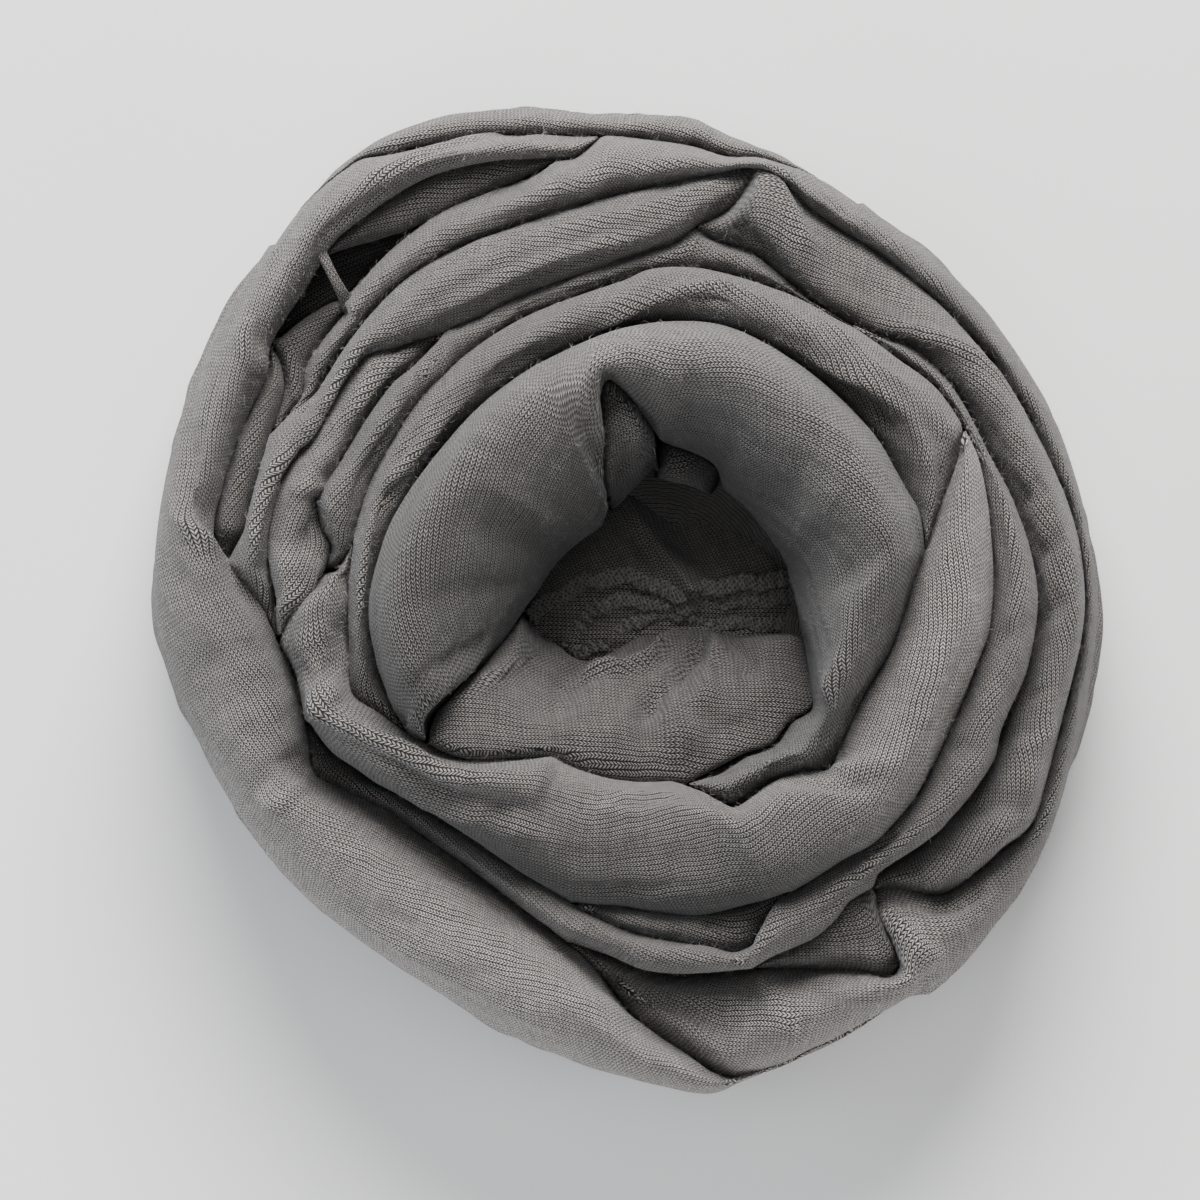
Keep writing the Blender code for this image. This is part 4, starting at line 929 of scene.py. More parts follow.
def bump_node(tree, place, height, strength, distance):
    """The normal of a surface with a relief."""
    inputs = {"Height": height, "Strength": strength, "Distance": distance}
    return add_node(tree, "ShaderNodeBump", place, inputs).outputs["Normal"]


def tone_node(tree, place):
    """How light the cloth is, from the mesh: on the stretches, painted light and shade."""
    return add_node(tree, "ShaderNodeAttribute", place, {}, attribute_name="tone").outputs["Fac"]


def pulled_cloth(tree, scale, detail, pull):
    """The cloth's UV map, wandering a little as it does in cloth that has been pulled."""
    cloth = add_node(tree, "ShaderNodeUVMap", (-12, 0), {}, uv_map="cloth").outputs["UV"]
    wander = noise_node(tree, (-11, 1), cloth, scale, detail, roughness=0.5, output="Color")
    inputs = {0: cloth, 1: scale_node(tree, (-10, 1), wander, pull)}
    return add_node(tree, "ShaderNodeVectorMath", (-9, 0), inputs, operation="ADD").outputs[0]


def new_material(name):
    """A new material, with its tree and its shader."""
    material = bpy.data.materials.new(name)
    material.use_nodes = True
    tree = material.node_tree
    shader = tree.nodes["Principled BSDF"]
    shader.location = SHADER_PLACE
    tree.nodes["Material Output"].location = OUTPUT_PLACE
    return material, tree, shader


def stitch_height(tree, vector, wale, course):
    """Columns of V-shaped stitches: 1 on the yarn and 0 in the gaps between the columns."""
    split = add_node(tree, "ShaderNodeSeparateXYZ", (-6, 0), {0: vector})
    across = math_node(tree, "DIVIDE", (-5, 1), split.outputs["Y"], wale)
    across = math_node(tree, "FRACT", (-4.4, 1), across)
    across = math_node(tree, "SUBTRACT", (-3.8, 1), across, 0.5)
    across = math_node(tree, "ABSOLUTE", (-3.2, 1), across)
    along = math_node(tree, "DIVIDE", (-5, 0), split.outputs["X"], course)
    slant = math_node(tree, "MULTIPLY", (-2.6, 1), across, LEG_SLANT)
    phase = math_node(tree, "ADD", (-2, 0), along, slant)
    wave = math_node(tree, "SINE", (-1, 0), math_node(tree, "MULTIPLY", (-1.5, 0), phase, math.tau))
    legs = range_node(tree, (-0.4, 0), wave, *LEG_WAVE, 0.0, 1.0)
    column_edge = range_node(tree, (-0.4, 1), across, *COLUMN_EDGE, 1.0, 0.0)
    column_middle = range_node(tree, (-0.4, 2), across, *COLUMN_MIDDLE, MIDDLE_LOW, 1.0)
    body = math_node(tree, "MULTIPLY", (0.4, 0.5), legs, column_edge)
    return math_node(tree, "MULTIPLY", (1, 0.5), body, column_middle)


def yarn_streak(tree, row, vector, scale, low, high):
    """Lighter and darker yarn, in streaks along the way in which the noise is stretched."""
    stretched = add_node(tree, "ShaderNodeMapping", (-6, row), {"Vector": vector, "Scale": scale})
    noise = noise_node(tree, (-5, row), stretched.outputs[0], 1.0, 3.0)
    return range_node(tree, (-4, row), noise, *NOISE_RANGE, low, high)


def jersey_material(settings):
    """Heathered fine jersey: stitches, uneven yarn, soft fuzz and a dull sheen."""
    name = "heathered_jersey"
    if name in bpy.data.materials:
        return bpy.data.materials[name]
    material, tree, shader = new_material(name)
    vector = pulled_cloth(tree, 0.11, 2.0, 2.0)
    stitch = stitch_height(tree, vector, settings.wale / MM, settings.course / MM)

    # Uneven yarn: streaks along the rows and along the columns of stitches, and a wider mottle.
    along_rows = yarn_streak(tree, 4, vector, (1.7, 0.09, 1.0), 0.86, 1.1)
    along_columns = yarn_streak(tree, 5, vector, (0.07, 1.3, 1.0), 0.9, 1.07)
    blotches = noise_node(tree, (-5, 6), vector, 1.9, 4.0, 0.7)
    mottle = range_node(tree, (-4, 6), blotches, *NOISE_RANGE, 0.74, 1.2)
    heather = math_node(tree, "MULTIPLY", (-3.5, 4.5), along_rows, along_columns)
    heather = math_node(tree, "MULTIPLY", (-3, 5), heather, mottle)
    # Painted light and shade: the mesh's tone darkens the colour at seams and hollows, lightens lit
    # sides.
    heather = math_node(tree, "MULTIPLY", (-2, 5), heather, tone_node(tree, (-3, 7)))
    grey = add_node(tree, "ShaderNodeCombineColor", (2.8, 4), {0: heather, 1: heather, 2: heather})
    yarn = mix_node(tree, (2, 2), stitch, settings.gap_colour, settings.yarn_colour)

    fuzz = noise_node(tree, (0, 7), vector, 7.0, 3.0, 0.7)
    crumple = noise_node(tree, (0, 8), vector, 0.28, 3.0, 0.5)
    relief = math_node(tree, "MULTIPLY", (1.4, 6), stitch, 0.12)
    for row, height, share in ((7, fuzz, 0.02), (8, crumple, 0.12)):
        part = math_node(tree, "MULTIPLY", (1.4, row), height, share)
        relief = math_node(tree, "ADD", (2.2, row), relief, part)
    set_inputs(tree, shader, {
        "Base Color": mix_node(tree, (3.5, 2), 1.0, yarn, grey.outputs[0], blend_type="MULTIPLY"),
        "Normal": bump_node(tree, (4, 6), relief, 0.85, MM),
        "Roughness": 0.92, "Specular IOR Level": 0.25,
        "Sheen Weight": 0.1, "Sheen Roughness": 0.55, "Sheen Tint": SHEEN_TINT})
    return material


def thread_material():
    """Overlock stitching: slanting loops of thread over the raw edge."""
    name = "overlock_thread"
    if name in bpy.data.materials:
        return bpy.data.materials[name]
    material, tree, shader = new_material(name)
    split = add_node(tree, "ShaderNodeSeparateXYZ", (-4, 0), {0: pulled_cloth(tree, 2.0, 3.0, 1.0)})
    loops = []
    # Two sets of loops: how closely they lie along and across the edge, and where a wave is thread.
    for row, along, across, low, high in ((0, 9.5, 4.6, -0.4, 0.9), (2, 6.0, -7.0, 0.1, 0.95)):
        along = math_node(tree, "MULTIPLY", (-3.5, row), split.outputs["X"], along)
        across = math_node(tree, "MULTIPLY", (-3.5, row + 1), split.outputs["Y"], across)
        wave = math_node(tree, "SINE", (-2, row), math_node(tree, "ADD", (-3, row), along, across))
        loops.append(range_node(tree, (-1, row), wave, low, high, 0.0, 1.0))
    thread = math_node(tree, "MAXIMUM", (0, 1), *loops)
    set_inputs(tree, shader, {
        "Base Color": mix_node(tree, (2, 1), thread, THREAD_GAP, THREAD_COLOUR),
        "Normal": bump_node(tree, (3, 3), thread, 0.8, 0.35 * MM),
        "Roughness": 0.9, "Specular IOR Level": 0.25, "Sheen Weight": 0.2, "Sheen Roughness": 0.5})
    return material


def nap_material():
    """Pale loose fibres, a little uneven, with the painted light and shade of their cloth."""
    name = "loose_nap"
    if name in bpy.data.materials:
        return bpy.data.materials[name]
    material, tree, shader = new_material(name)
    place = add_node(tree, "ShaderNodeTexCoord", (-4, 0), {}).outputs["Object"]
    shade = noise_node(tree, (-3, 0), place, 900.0, 2.0)
    colour = mix_node(tree, (-1, 0), shade, NAP_DARK, NAP_PALE)
    set_inputs(tree, shader, {
        "Base Color": scale_node(tree, (0, 0), colour, tone_node(tree, (-1, -1))),
        "Roughness": 0.95, "Specular IOR Level": 0.2})
    return material


def grid_object(name, points, uv, material, closed=False, tone=0.7):
    """A mesh of a grid of points in millimetres, with its cloth UV map and its tone."""
    rows, columns = points.shape[:2]
    bm = bmesh.new()
    bmesh.ops.create_grid(bm, x_segments=columns - 1, y_segments=rows - 1, size=1.0)
    mesh = bpy.data.meshes.new(name)
    bm.to_mesh(mesh)
    bm.free()
    mesh.vertices.foreach_set("co", (points * MM).astype(np.float32).ravel())
    layer = mesh.uv_layers.new(name="cloth")
    corners = np.zeros(len(mesh.loops), dtype=np.int32)
    mesh.loops.foreach_get("vertex_index", corners)
    layer.data.foreach_set("uv", uv.reshape(-1, 2)[corners].astype(np.float32).ravel())
    tones = np.broadcast_to(tone, (rows, columns)).astype(np.float32)
    mesh.attributes.new("tone", "FLOAT", "POINT").data.foreach_set("value", tones.ravel())
    if closed:
        close_grid(mesh)
    mesh.materials.append(material)
    mesh.shade_smooth()
    mesh.update()
    thing = bpy.data.objects.new(name, mesh)
    bpy.context.scene.collection.objects.link(thing)
    return thing


def close_grid(mesh):
    """Joins the first row of a grid to its last, and its poles to points."""
    bm = bmesh.new()
    bm.from_mesh(mesh)
    bmesh.ops.remove_doubles(bm, verts=bm.verts[:], dist=1e-6)
    bmesh.ops.recalc_face_normals(bm, faces=bm.faces[:])
    bm.to_mesh(mesh)
    bm.free()


def grid_area(points):
    """Area of a grid of points in square metres, and its mean length along the rows."""
    along = np.linalg.norm(np.diff(points, axis=0), axis=2)
    length = float(np.mean(np.sum(along, axis=0)))
    a = points[1:, 1:] - points[:-1, :-1]
    b = points[1:, :-1] - points[:-1, 1:]
    area = float(np.sum(np.linalg.norm(np.cross(a, b), axis=2)) * 0.5)
    return area * MM * MM, length * MM


def finish_cloth(thing, points, node, thickness, shares=None):
    """Gives a shell its thickness, hides the solid it stands for and works out its cloth's size."""
    wall = thing.modifiers.new("thickness", "SOLIDIFY")
    wall.thickness = thickness
    wall.offset = -1.0
    if shares is not None:
        columns = points.shape[1]
        group = thing.vertex_groups.new(name="thickness")
        for row, share in enumerate(shares):
            group.add(list(range(row * columns, (row + 1) * columns)), float(share), "REPLACE")
        wall.vertex_group = "thickness"
    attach(thing, "root")
    if node is not None:
        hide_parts(node)
    area, length = grid_area(points)
    width = max(area / length, NARROWEST_CUT)
    length = max(area / width, NARROWEST_CUT)


def add_nap(name, shell, points, settings, seed):
    """Loose fibres that stand off the shoulders of a fold, as flat curved ribbons."""
    random = np.random.default_rng(seed)
    normal = unit(np.cross(np.gradient(points, axis=1), np.gradient(points, axis=0)), 2)
    free = shell.free_share() > NAP_FREE_SHARE
    low, high = NAP_FACING
    rows, columns = np.nonzero(free & (normal[:, :, 2] > low) & (normal[:, :, 2] < high))
    count = int(len(rows) * (settings.spacing / MM) ** 2 * settings.nap)
    if count == 0:
        return
    chosen = random.choice(len(rows), count, replace=False)
    rows, columns = rows[chosen], columns[chosen]
    root, rise = points[rows, columns], normal[rows, columns]
    way = random.standard_normal((count, 3))
    way -= rise * np.sum(way * rise, axis=1, keepdims=True)
    way /= np.linalg.norm(way, axis=1, keepdims=True)
    length = random.uniform(*NAP_LENGTH, (count, 1, 1))
    # Each fibre rises from its root, and bends over to one side.
    share = np.array((0.0, 0.5, 1.0))[None, :, None]
    curve = root[:, None, :] + length * (rise[:, None, :] * (0.8 * share - 0.25 * share ** 2)
                                         + way[:, None, :] * 0.75 * share ** 2)
    ahead = curve[:, 2] - curve[:, 0]
    side = unit(np.stack((-ahead[:, 1], ahead[:, 0], 0.0 * ahead[:, 0]), axis=1), 1)
    half = 0.5 * NAP_WIDTH * (1.0 - NAP_TAPER * share) * side[:, None, :]
    ribbons = np.stack((curve - half, curve + half), axis=1).reshape(2 * count, 3, 3)
    # Each fibre takes the painted light and shade of the cloth at its root.
    tone = np.repeat(shell.tones(name)[rows, columns], 2)[:, None]
    thing = grid_object(name + "_nap", ribbons, ribbons[:, :, :2], nap_material(), tone=tone)
    # The grid joins each ribbon to the next one, and those faces go.
    bm = bmesh.new()
    bm.from_mesh(thing.data)
    between = [face for face in bm.faces
               if min(vert.index // 3 for vert in face.verts) % 2 == 1]
    bmesh.ops.delete(bm, geom=between, context="FACES_ONLY")
    bm.to_mesh(thing.data)
    bm.free()
    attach(thing, "root")


def make_stretch(name, settings):
    """One stretch of the band, as a shell on the form of its solid."""
    order = ORDER[name]
    stretch = STRETCHES[order]
    shell = Shell(order, settings.spacing / MM)
    points = shell.displace(stretch, settings.ripple / MM, RIPPLE_SEED + order)
    thing = grid_object(name + "_cloth", points, shell.cloth_uv(stretch.bias),
                        jersey_material(settings), tone=shell.tones(name))
    node = None if name == SCENE_ONLY else name
    shares = np.clip(shell.width / FULL_WIDTH, THINNEST_SHARE, 1.0)
    finish_cloth(thing, points, node, settings.thickness, shares)
    add_nap(name, shell, points, settings, NAP_SEED + order)


def make_stretches(names, context):
    """Some stretches of the band, one after another."""
    for name in names:
        make_stretch(name, context.scene.hijab)
    return {"FINISHED"}


def path_through(rows, spacing):
    """Points about spacing apart on a smooth curve through rows of x_mm, y_mm and z_mm."""
    table = [(place, *row) for place, row in enumerate(rows)]
    length = float(np.sum(np.linalg.norm(np.diff(np.array(rows), axis=0), axis=1)))
    places = np.linspace(0.0, len(rows) - 1.0, int(length / spacing) + 2)
    return np.stack([smooth(table, column_place, places) for column_place in (1, 2, 3)], axis=1)


def run_along(path):
    """Distance along a path, and its level direction to the left, at each of its points."""
    step = np.linalg.norm(np.diff(path, axis=0), axis=1)
    distance = np.concatenate(([0.0], np.cumsum(step)))
    ahead = np.gradient(path, axis=0)
    left = np.stack((-ahead[:, 1], ahead[:, 0], 0.0 * ahead[:, 0]), axis=1)
    return distance, left / np.linalg.norm(left, axis=1, keepdims=True)


def from_well(points):
    """Points that are given from the middle of the well."""
    return points + np.array((*WELL_CENTRE, 0.0))


def beside(path, left, sideways):
    """A row of points for each point of a path, to both sides of it."""
    return from_well(path)[:, None, :] + left[:, None, :] * sideways[:, :, None]


class HIJAB_OT_inner_end(bpy.types.Operator):
    """Builds the raw overlocked end of the band, which lies in the well"""

    bl_idname = "hijab.inner_end"
    bl_label = "Inner end"

    # Overlocked edges of the end, one row of x_mm, y_mm and z_mm for each point from the left.
    EDGES = (
        ((-19.4, -2.6, 25.0), (-17.4, -1.0, 26.0), (-15.5, -0.2, 26.6), (-12.0, 2.1, 27.4),
         (-7.8, 3.4, 27.8), (-3.0, 3.7, 27.8), (1.2, 2.0, 27.0), (4.0, 1.0, 27.0),
         (8.8, 1.7, 27.6), (14.0, 2.5, 27.2), (19.2, 3.1, 26.4), (24.6, 3.5, 25.0)),
        ((-12.6, -5.6, 22.6), (-10.6, -3.4, 24.0), (-9.4, -1.9, 24.8), (-6.4, -0.4, 25.4),
         (-2.3, 0.0, 25.6), (1.2, -0.5, 25.2), (5.4, -0.9, 25.2), (8.8, -0.3, 25.6),
         (13.7, 0.0, 25.0), (18.5, 0.2, 24.6), (24.6, 0.8, 23.2)),
        ((-18.8, -5.4, 21.6), (-16.2, -5.0, 22.0), (-12.6, -5.8, 22.4), (-11.0, -8.4, 22.4),
         (-7.8, -6.7, 23.0), (-4.4, -4.6, 23.6), (-0.2, -2.4, 24.0), (4.0, -1.9, 24.2),
         (7.4, -2.6, 24.0), (10.9, -3.6, 23.8), (15.1, -3.5, 23.4), (19.5, -3.8, 22.8),
         (25.0, -4.0, 21.6)),
    )
    EDGE_SPACING = 0.22
    EDGE_COLUMNS = 25
    EDGE_WIDTH = 3.0
    EDGE_DEPTH = 5.0
    # The outer part of an edge's width that turns down.
    SKIRT_SHARE = 0.14
    THREAD_PITCH = 1.6
    CLOTH_SPACING = 0.5
    # The cloth between the edges: how far it lies below them, and reaches past the lowest.
    UNDER_DROP = 1.9
    UNDER_REACH = 5.0
    # The cloth behind the upper edge: how far it starts below it, and runs back and down. It has a
    # ridge along a line, and lies deeper to the right of that.
    BACK_DROP = 0.8
    BACK_REACH = 13.5
    BACK_FALL = 12.0
    BACK_RIDGE = ((-2.4, 14.0), (6.4, 2.6))
    RIDGE_HEIGHT = 3.2
    RIDGE_WIDTH = 1.8
    RIDGE_STEP = 2.8
    RIDGE_STEP_RUN = 5.0

    def edge(self, name, rows, settings, node):
        """One overlocked edge, as a lumpy ribbon with both of its sides turned down."""
        path = path_through(rows, self.EDGE_SPACING)
        distance, left = run_along(path)
        # The length of its name is the seed of an edge's unevenness.
        random = np.random.default_rng(len(name))
        phase = random.uniform(0.0, 6.0, 3)
        sway = 0.3 * np.sin(distance * 0.95 + phase[0]) + 0.12 * np.sin(distance * 1.9 + phase[1])
        uneven = 0.8 * np.sin(distance * 0.9 + phase[2])
        lumps = np.sin(distance * math.tau / self.THREAD_PITCH + uneven)
        across = np.linspace(1.0, -1.0, self.EDGE_COLUMNS)
        lip = np.sqrt(np.maximum(1.0 - across * across, 0.0))
        path = path + left * sway[:, None]
        wide = 0.5 * self.EDGE_WIDTH * (1.0 + 0.09 * lumps)
        grain = 0.15 * random.standard_normal((len(path), len(across))) * lip
        sideways = across[None, :] * wide[:, None]
        points = beside(path, left, sideways)
        rise = lip[None, :] * (1.0 + 0.3 * lumps[:, None] * lip) + grain
        turned = (np.abs(across) - (1.0 - self.SKIRT_SHARE)) / self.SKIRT_SHARE
        points[:, :, 2] += rise - 1.0 - np.clip(turned, 0.0, 1.0) * self.EDGE_DEPTH
        uv = np.stack((distance[:, None] + 0.0 * sideways, sideways), axis=2)
        thing = grid_object(name, points, uv, thread_material())
        finish_cloth(thing, points, node, settings.thickness)

    def between(self, settings):
        """The cloth that shows between the overlocked edges."""
        places = np.linspace(0.0, 1.0, 90)
        sides = []
        for rows, reach in ((self.EDGES[0], 0.0), (self.EDGES[2], -self.UNDER_REACH)):
            path = path_through(rows, self.CLOTH_SPACING)
            whole = np.linspace(0.0, 1.0, len(path))
            side = np.stack([np.interp(places, whole, path[:, axis]) for axis in range(3)], axis=1)
            side[:, 1] += reach
            sides.append(side)
        share = np.linspace(0.0, 1.0, 30)[None, :, None]
        points = sides[0][:, None, :] * (1.0 - share) + sides[1][:, None, :] * share
        points[:, :, 2] -= self.UNDER_DROP
        points[:, :, 2] += 0.3 * np.sin(points[:, :, 0] * 0.8) - 0.4 * np.sin(points[:, :, 1] * 1.3)
        uv = points[:, :, :2] * np.array((0.9, 1.2))
        points = from_well(points)
        thing = grid_object("inner_end_between", points, uv, jersey_material(settings))
        finish_cloth(thing, points, None, settings.thickness)

    def back(self, settings):
        """The cloth that falls away behind the upper edge, into the dark of the well."""
        path = path_through(self.EDGES[0], self.CLOTH_SPACING)
        share = np.linspace(0.0, 1.0, 40)
        points = np.repeat(path[:, None, :], len(share), axis=1)
        points[:, :, 1] += self.BACK_REACH * share
        points[:, :, 2] -= self.BACK_DROP + self.BACK_FALL * share ** 1.4
        (x0, y0), (x1, y1) = self.BACK_RIDGE
        length = math.hypot(x1 - x0, y1 - y0)
        off = ((points[:, :, 0] - x0) * (y1 - y0) - (points[:, :, 1] - y0) * (x1 - x0)) / length
        points[:, :, 2] += self.RIDGE_HEIGHT * np.exp(-(off / self.RIDGE_WIDTH) ** 2)
        points[:, :, 2] -= self.RIDGE_STEP * np.clip(-off / self.RIDGE_STEP_RUN, 0.0, 1.0)
        points[:, :, 2] += 0.35 * np.sin(points[:, :, 0] * 0.9 + 0.6 * points[:, :, 1])
        uv = np.stack((points[:, :, 0] * 0.9 + points[:, :, 1] * 0.45,
                       points[:, :, 1] * 1.1 - points[:, :, 0] * 0.4 - points[:, :, 2] * 0.7),
                      axis=2)
        points = from_well(points)
        thing = grid_object("inner_end_back", points[::-1], uv[::-1], jersey_material(settings))
        finish_cloth(thing, points, None, settings.thickness)

    def execute(self, context):
        settings = context.scene.hijab
        names = ("inner_end_upper", "inner_end_middle", "inner_end_lower")
        for name, rows in zip(names, self.EDGES):
            self.edge(name, rows, settings, "inner_end" if name == names[0] else None)
        self.between(settings)
        self.back(settings)
        return {"FINISHED"}


class HIJAB_OT_cleft_strand(bpy.types.Operator):
    """Builds the narrow twisted fold that crosses the top cleft"""

    bl_idname = "hijab.cleft_strand"
    bl_label = "Cleft strand"

    # x_mm, y_mm and z_mm of its middle line, from the middle of the well.
    PATH = ((-54.0, 58.4, 35.0), (-52.8, 56.0, 40.5), (-51.8, 54.0, 42.6), (-50.6, 51.6, 42.2),
            (-49.4, 49.4, 40.8), (-48.4, 47.4, 37.6), (-47.8, 46.2, 34.0))
    SPACING = 0.2
    COLUMNS = 25
    HALF_WIDTH = 1.0
    HALF_DEPTH = 1.15

    def execute(self, context):
        settings = context.scene.hijab
        path = path_through(self.PATH, self.SPACING)
        distance, left = run_along(path)
        turn = np.linspace(-0.5 * math.pi, 1.5 * math.pi, self.COLUMNS)
        share = distance / distance[-1]
        swell = 0.75 + 0.35 * share + 0.12 * np.sin(share * 9.0)
        fold = 1.0 - 0.3 * np.exp(-((np.cos(turn - 1.2) - 1.0) / 0.12) ** 2)
        sideways = np.cos(turn)[None, :] * (swell[:, None] * self.HALF_WIDTH) * fold
        upward = np.sin(turn)[None, :] * (swell[:, None] * self.HALF_DEPTH) * fold
        points = beside(path, left, sideways)
        points[:, :, 2] += upward
        uv = np.stack((distance[:, None] + 0.0 * sideways, turn[None, :] + 0.4 * distance[:, None]),
                      axis=2)
        thing = grid_object("cleft_strand_cloth", points, uv, jersey_material(settings))
        finish_cloth(thing, points, "cleft_strand", 0.5 * settings.thickness)
        return {"FINISHED"}


class HIJAB_OT_hidden_coil(bpy.types.Operator):
    """Builds the coil of hidden layers that the visible cloth rests on"""

    bl_idname = "hijab.hidden_coil"
    bl_label = "Hidden coil"

    # Inset from the outline and height of the folded edges at the foot, in mm, from the top down.
    FOOT_EDGES = ((7.4, 7.2), (4.2, 7.1), (3.0, 6.6), (2.6, 5.9), (3.0, 5.2), (4.6, 4.9),
                  (3.0, 4.5), (2.3, 3.7), (2.8, 2.9), (4.4, 2.6), (3.0, 2.2), (2.4, 1.4),
                  (2.8, 0.6), (3.8, 0.1), (5.0, 0.0))
    # Each layer of the foot takes this many of those edges.
    LAYER_EDGES = 5
    # The rows of HIDDEN_TOP inside this radius shape the top, which ends at an inset of its own.
    TOP_RADIUS = 60.0
    TOP_INSET = 8.2
    UNDERSIDE_INSET = 5.4
    UNDERSIDE_RINGS = 60
    # Wraps of the band on the underside, and the grooves between them.
    WRAP_WIDTH = 4.6
    GROOVE_DEPTH = 0.9
    GROOVE_WIDTH = 0.12
    GROOVE_START = 6.0
    MEAN_RADIUS = 70.0

    def foot(self, edge, turn):
        """Radius and height of the folded edges at the foot, which wave a little."""
        rows = []
        for place, (inset, height) in enumerate(self.FOOT_EDGES):
            layer = place // self.LAYER_EDGES
            wave = 0.4 * np.sin((3 + layer) * turn + 1.2 * layer) + 0.25 * np.sin((9 - layer) * turn)
            lift = 0.3 * np.sin((4 + layer) * turn + layer) * min(1.0, max(0.0, height - 0.6))
            rows.append((edge - inset - wave, height + lift))
        return rows

    def underside(self, edge, turn):
        """Radius and height of the underside, where a groove runs between the wraps."""
        rows = []
        inside = 1.0 - (np.arange(self.UNDERSIDE_RINGS) + 1.0) / self.UNDERSIDE_RINGS
        for share in inside:
            radius = (edge - self.UNDERSIDE_INSET) * share
            turns = radius / self.WRAP_WIDTH - turn / math.tau
            groove = np.exp(-((turns - np.round(turns)) / self.GROOVE_WIDTH) ** 2)
            groove = groove * np.clip(radius / self.GROOVE_START, 0.0, 1.0)
            rows.append((radius, self.GROOVE_DEPTH * groove * min(1.0, (1.0 - share) * 12.0)))
        return rows

    def execute(self, context):
        azimuth = np.linspace(0.0, 360.0, 361)
        turn = np.radians(azimuth)
        edge = outline_radius(azimuth)
        whole = np.ones(len(azimuth))
        rows = [(radius * whole, height * whole) for radius, height in HIDDEN_TOP
                if radius < self.TOP_RADIUS]
        rows.append((edge - self.TOP_INSET, hidden_top(edge - self.TOP_INSET)))
        rows += self.foot(edge, turn) + self.underside(edge, turn)
        radius, height = np.array(rows).transpose(1, 2, 0)
        points = round_well(azimuth, radius, height)
        points[-1] = points[0]
        step = np.hypot(np.diff(radius, axis=1), np.diff(height, axis=1))
        arc = np.hstack((np.zeros((len(step), 1)), np.cumsum(step, axis=1)))
        uv = np.stack((turn[:, None] * self.MEAN_RADIUS + 0.0 * arc, arc), axis=2)
        material = jersey_material(context.scene.hijab)
        thing = grid_object(COIL_NAME, points, uv, material, closed=True)
        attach(thing, "root")
        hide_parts("hidden_layers")
        return {"FINISHED"}


class HIJAB_OT_outer_wraps(bpy.types.Operator):
    """Builds the wraps that make the outside of the rosette"""

    bl_idname = "hijab.outer_wraps"
    bl_label = "Outer wraps"

    PIECES = ("outer_sliver", "outer_wrap_left", "outer_wrap_right")

    def execute(self, context):
        return make_stretches(self.PIECES, context)


class HIJAB_OT_under_flaps(bpy.types.Operator):
    """Builds the flaps that show in the clefts under the outer wraps"""

    bl_idname = "hijab.under_flaps"
    bl_label = "Under flaps"

    PIECES = ("under_flap_top", "under_flap_left", "under_flap_edge", "top_cleft")

    def execute(self, context):
        return make_stretches(self.PIECES, context)


class HIJAB_OT_middle_wraps(bpy.types.Operator):
    """Builds the third and fourth wraps and the folds between them"""

    bl_idname = "hijab.middle_wraps"
    bl_label = "Middle wraps"

    PIECES = ("z_fold", "third_wrap_top", "third_wrap_right", "fourth_wrap_left",
              "rope_fold_upper", "rope_fold_lower", "thin_layers")

    def execute(self, context):
        return make_stretches(self.PIECES, context)


class HIJAB_OT_inner_rings(bpy.types.Operator):
    """Builds the second ring and the roll round the well"""

    bl_idname = "hijab.inner_rings"
    bl_label = "Inner rings"

    PIECES = ("second_ring_lower", "second_ring_upper", "inner_roll")

    def execute(self, context):
        return make_stretches(self.PIECES, context)


class HIJAB_OT_well_cloth(bpy.types.Operator):
    """Builds the cloth that hangs down into the well"""

    bl_idname = "hijab.well_cloth"
    bl_label = "Well cloth"

    PIECES = ("well_strip", "well_pocket", "well_wall")

    def execute(self, context):
        return make_stretches(self.PIECES, context)


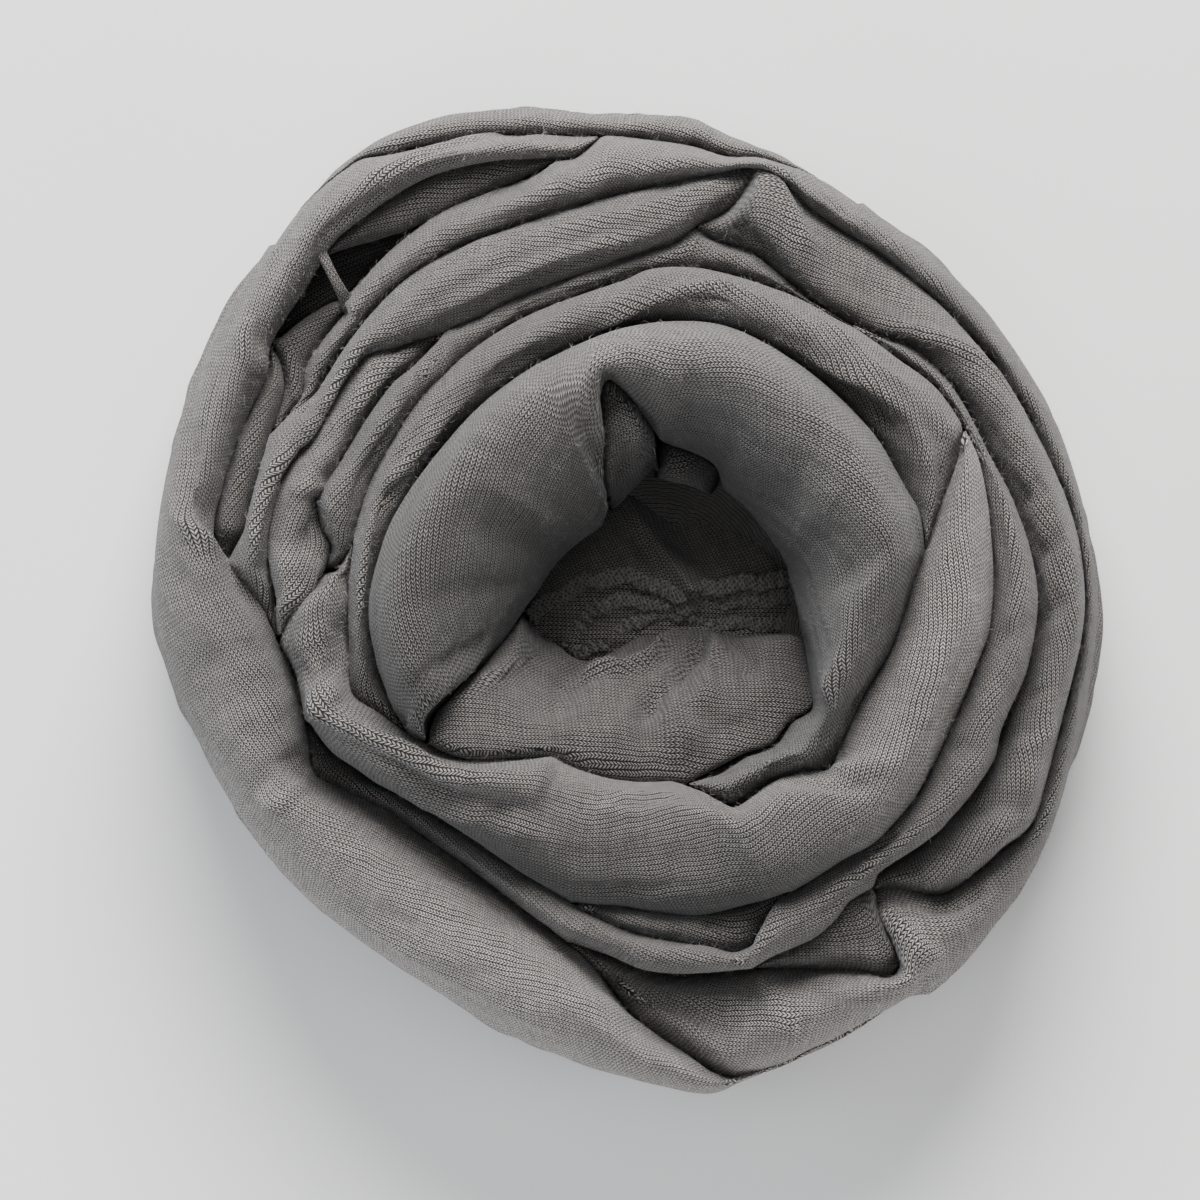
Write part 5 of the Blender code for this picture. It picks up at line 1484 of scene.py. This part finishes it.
class HIJAB_OT_stage(bpy.types.Operator):
    """Builds the floor, the lights and the camera"""

    bl_idname = "hijab.stage"
    bl_label = "Stage"

    # Width of the picture at the rosette, and the camera's place over it, in metres. The well is
    # 8 mm to the right of the middle of the picture.
    VIEW_WIDTH = 0.192
    VIEW_MIDDLE = ((WELL_CENTRE[0] - 8.0) * MM, WELL_CENTRE[1] * MM)
    CAMERA_HEIGHT = 1.0
    CLIP_END = 10.0

    # The floor lies a little below the cloth, so that it doesn't show through.
    FLOOR_HALF = 3.0
    FLOOR_HEIGHT = -0.0002
    FLOOR_COLOUR = (0.93, 0.93, 0.93, 1.0)
    WORLD_COLOUR = (0.95, 0.975, 1.0, 1.0)
    WORLD_STRENGTH = 0.18

    # Soft lights round the rosette: name, azimuth_deg, elevation_deg, size_m, power_w, colour.
    LIGHTS = (
        ("top", 90.0, 42.0, 0.75, 31.0, (1.0, 0.985, 0.965)),
        ("right", -10.0, 18.0, 0.6, 4.5, (1.0, 0.99, 0.975)),
        ("left", 172.0, 22.0, 0.6, 4.5, (0.84, 0.92, 1.0)),
        ("lower_left", 222.0, 28.0, 0.6, 4.0, (0.95, 0.975, 1.0)),
        ("bottom", 285.0, 25.0, 0.6, 2.0, (1.0, 1.0, 1.0)),
        ("overhead", 0.0, 90.0, 0.6, 2.4, (1.0, 1.0, 1.0)),
    )
    LIGHT_DISTANCE = 1.15
    LIGHT_AIM = Vector((0.0, 0.0, 0.04))

    def area_light(self, name, azimuth, elevation, size, power, colour):
        """A round soft light that is turned to the rosette."""
        light = bpy.data.lights.new(name, "AREA")
        light.shape = "DISK"
        light.size = size
        light.energy = power
        light.color = colour
        turn, rise = math.radians(azimuth), math.radians(elevation)
        level = math.cos(rise)
        way = Vector((level * math.cos(turn), level * math.sin(turn), math.sin(rise)))
        thing = bpy.data.objects.new(name, light)
        thing.location = self.LIGHT_AIM + way * self.LIGHT_DISTANCE
        thing.rotation_euler = (-way).to_track_quat("-Z", "Y").to_euler()
        thing.visible_camera = False
        bpy.context.scene.collection.objects.link(thing)

    def add_floor(self, context):
        """A plain pale floor."""
        bm = bmesh.new()
        bmesh.ops.create_grid(bm, x_segments=1, y_segments=1, size=self.FLOOR_HALF)
        bmesh.ops.translate(bm, verts=bm.verts[:], vec=(0.0, 0.0, self.FLOOR_HEIGHT))
        mesh = bpy.data.meshes.new("floor")
        bm.to_mesh(mesh)
        bm.free()
        floor = bpy.data.objects.new("floor", mesh)
        context.scene.collection.objects.link(floor)
        material, tree, shader = new_material("pale_floor")
        set_inputs(tree, shader, {"Base Color": self.FLOOR_COLOUR, "Roughness": 0.9})
        mesh.materials.append(material)

    def execute(self, context):
        self.add_floor(context)
        for light in self.LIGHTS:
            self.area_light(*light)

        world = bpy.data.worlds.new("studio")
        world.use_nodes = True
        background = world.node_tree.nodes["Background"]
        background.inputs["Color"].default_value = self.WORLD_COLOUR
        background.inputs["Strength"].default_value = self.WORLD_STRENGTH
        context.scene.world = world

        camera = bpy.data.cameras.new("camera")
        camera.type = "ORTHO"
        camera.ortho_scale = self.VIEW_WIDTH
        camera.clip_end = self.CLIP_END
        thing = bpy.data.objects.new("camera", camera)
        thing.location = (*self.VIEW_MIDDLE, self.CAMERA_HEIGHT)
        context.scene.collection.objects.link(thing)
        context.scene.camera = thing
        return {"FINISHED"}


STEPS = (
    HIJAB_OT_hidden_coil, HIJAB_OT_outer_wraps, HIJAB_OT_under_flaps, HIJAB_OT_cleft_strand,
    HIJAB_OT_middle_wraps, HIJAB_OT_inner_rings, HIJAB_OT_well_cloth, HIJAB_OT_inner_end,
    HIJAB_OT_stage,
)


class HIJAB_PT_panel(bpy.types.Panel):
    """Lists the sizes of the cloth and the pieces to build"""

    bl_idname = "HIJAB_PT_panel"
    bl_label = "Hijab"
    bl_space_type = "VIEW_3D"
    bl_region_type = "UI"
    bl_category = "Hijab"

    def draw(self, context):
        for name in HijabSettings.__annotations__:
            self.layout.prop(context.scene.hijab, name)
        for step in STEPS:
            self.layout.operator(step.bl_idname)


CLASSES = (HijabSettings,) + STEPS + (HIJAB_PT_panel,)


def register():
    for each in CLASSES:
        bpy.utils.register_class(each)
    bpy.types.Scene.hijab = bpy.props.PointerProperty(type=HijabSettings)


def unregister():
    del bpy.types.Scene.hijab
    for each in reversed(CLASSES):
        bpy.utils.unregister_class(each)


def main():
    register()
    for step in STEPS:
        group, name = step.bl_idname.split(".")
        getattr(getattr(bpy.ops, group), name)()


if __name__ == "__main__":
    main()
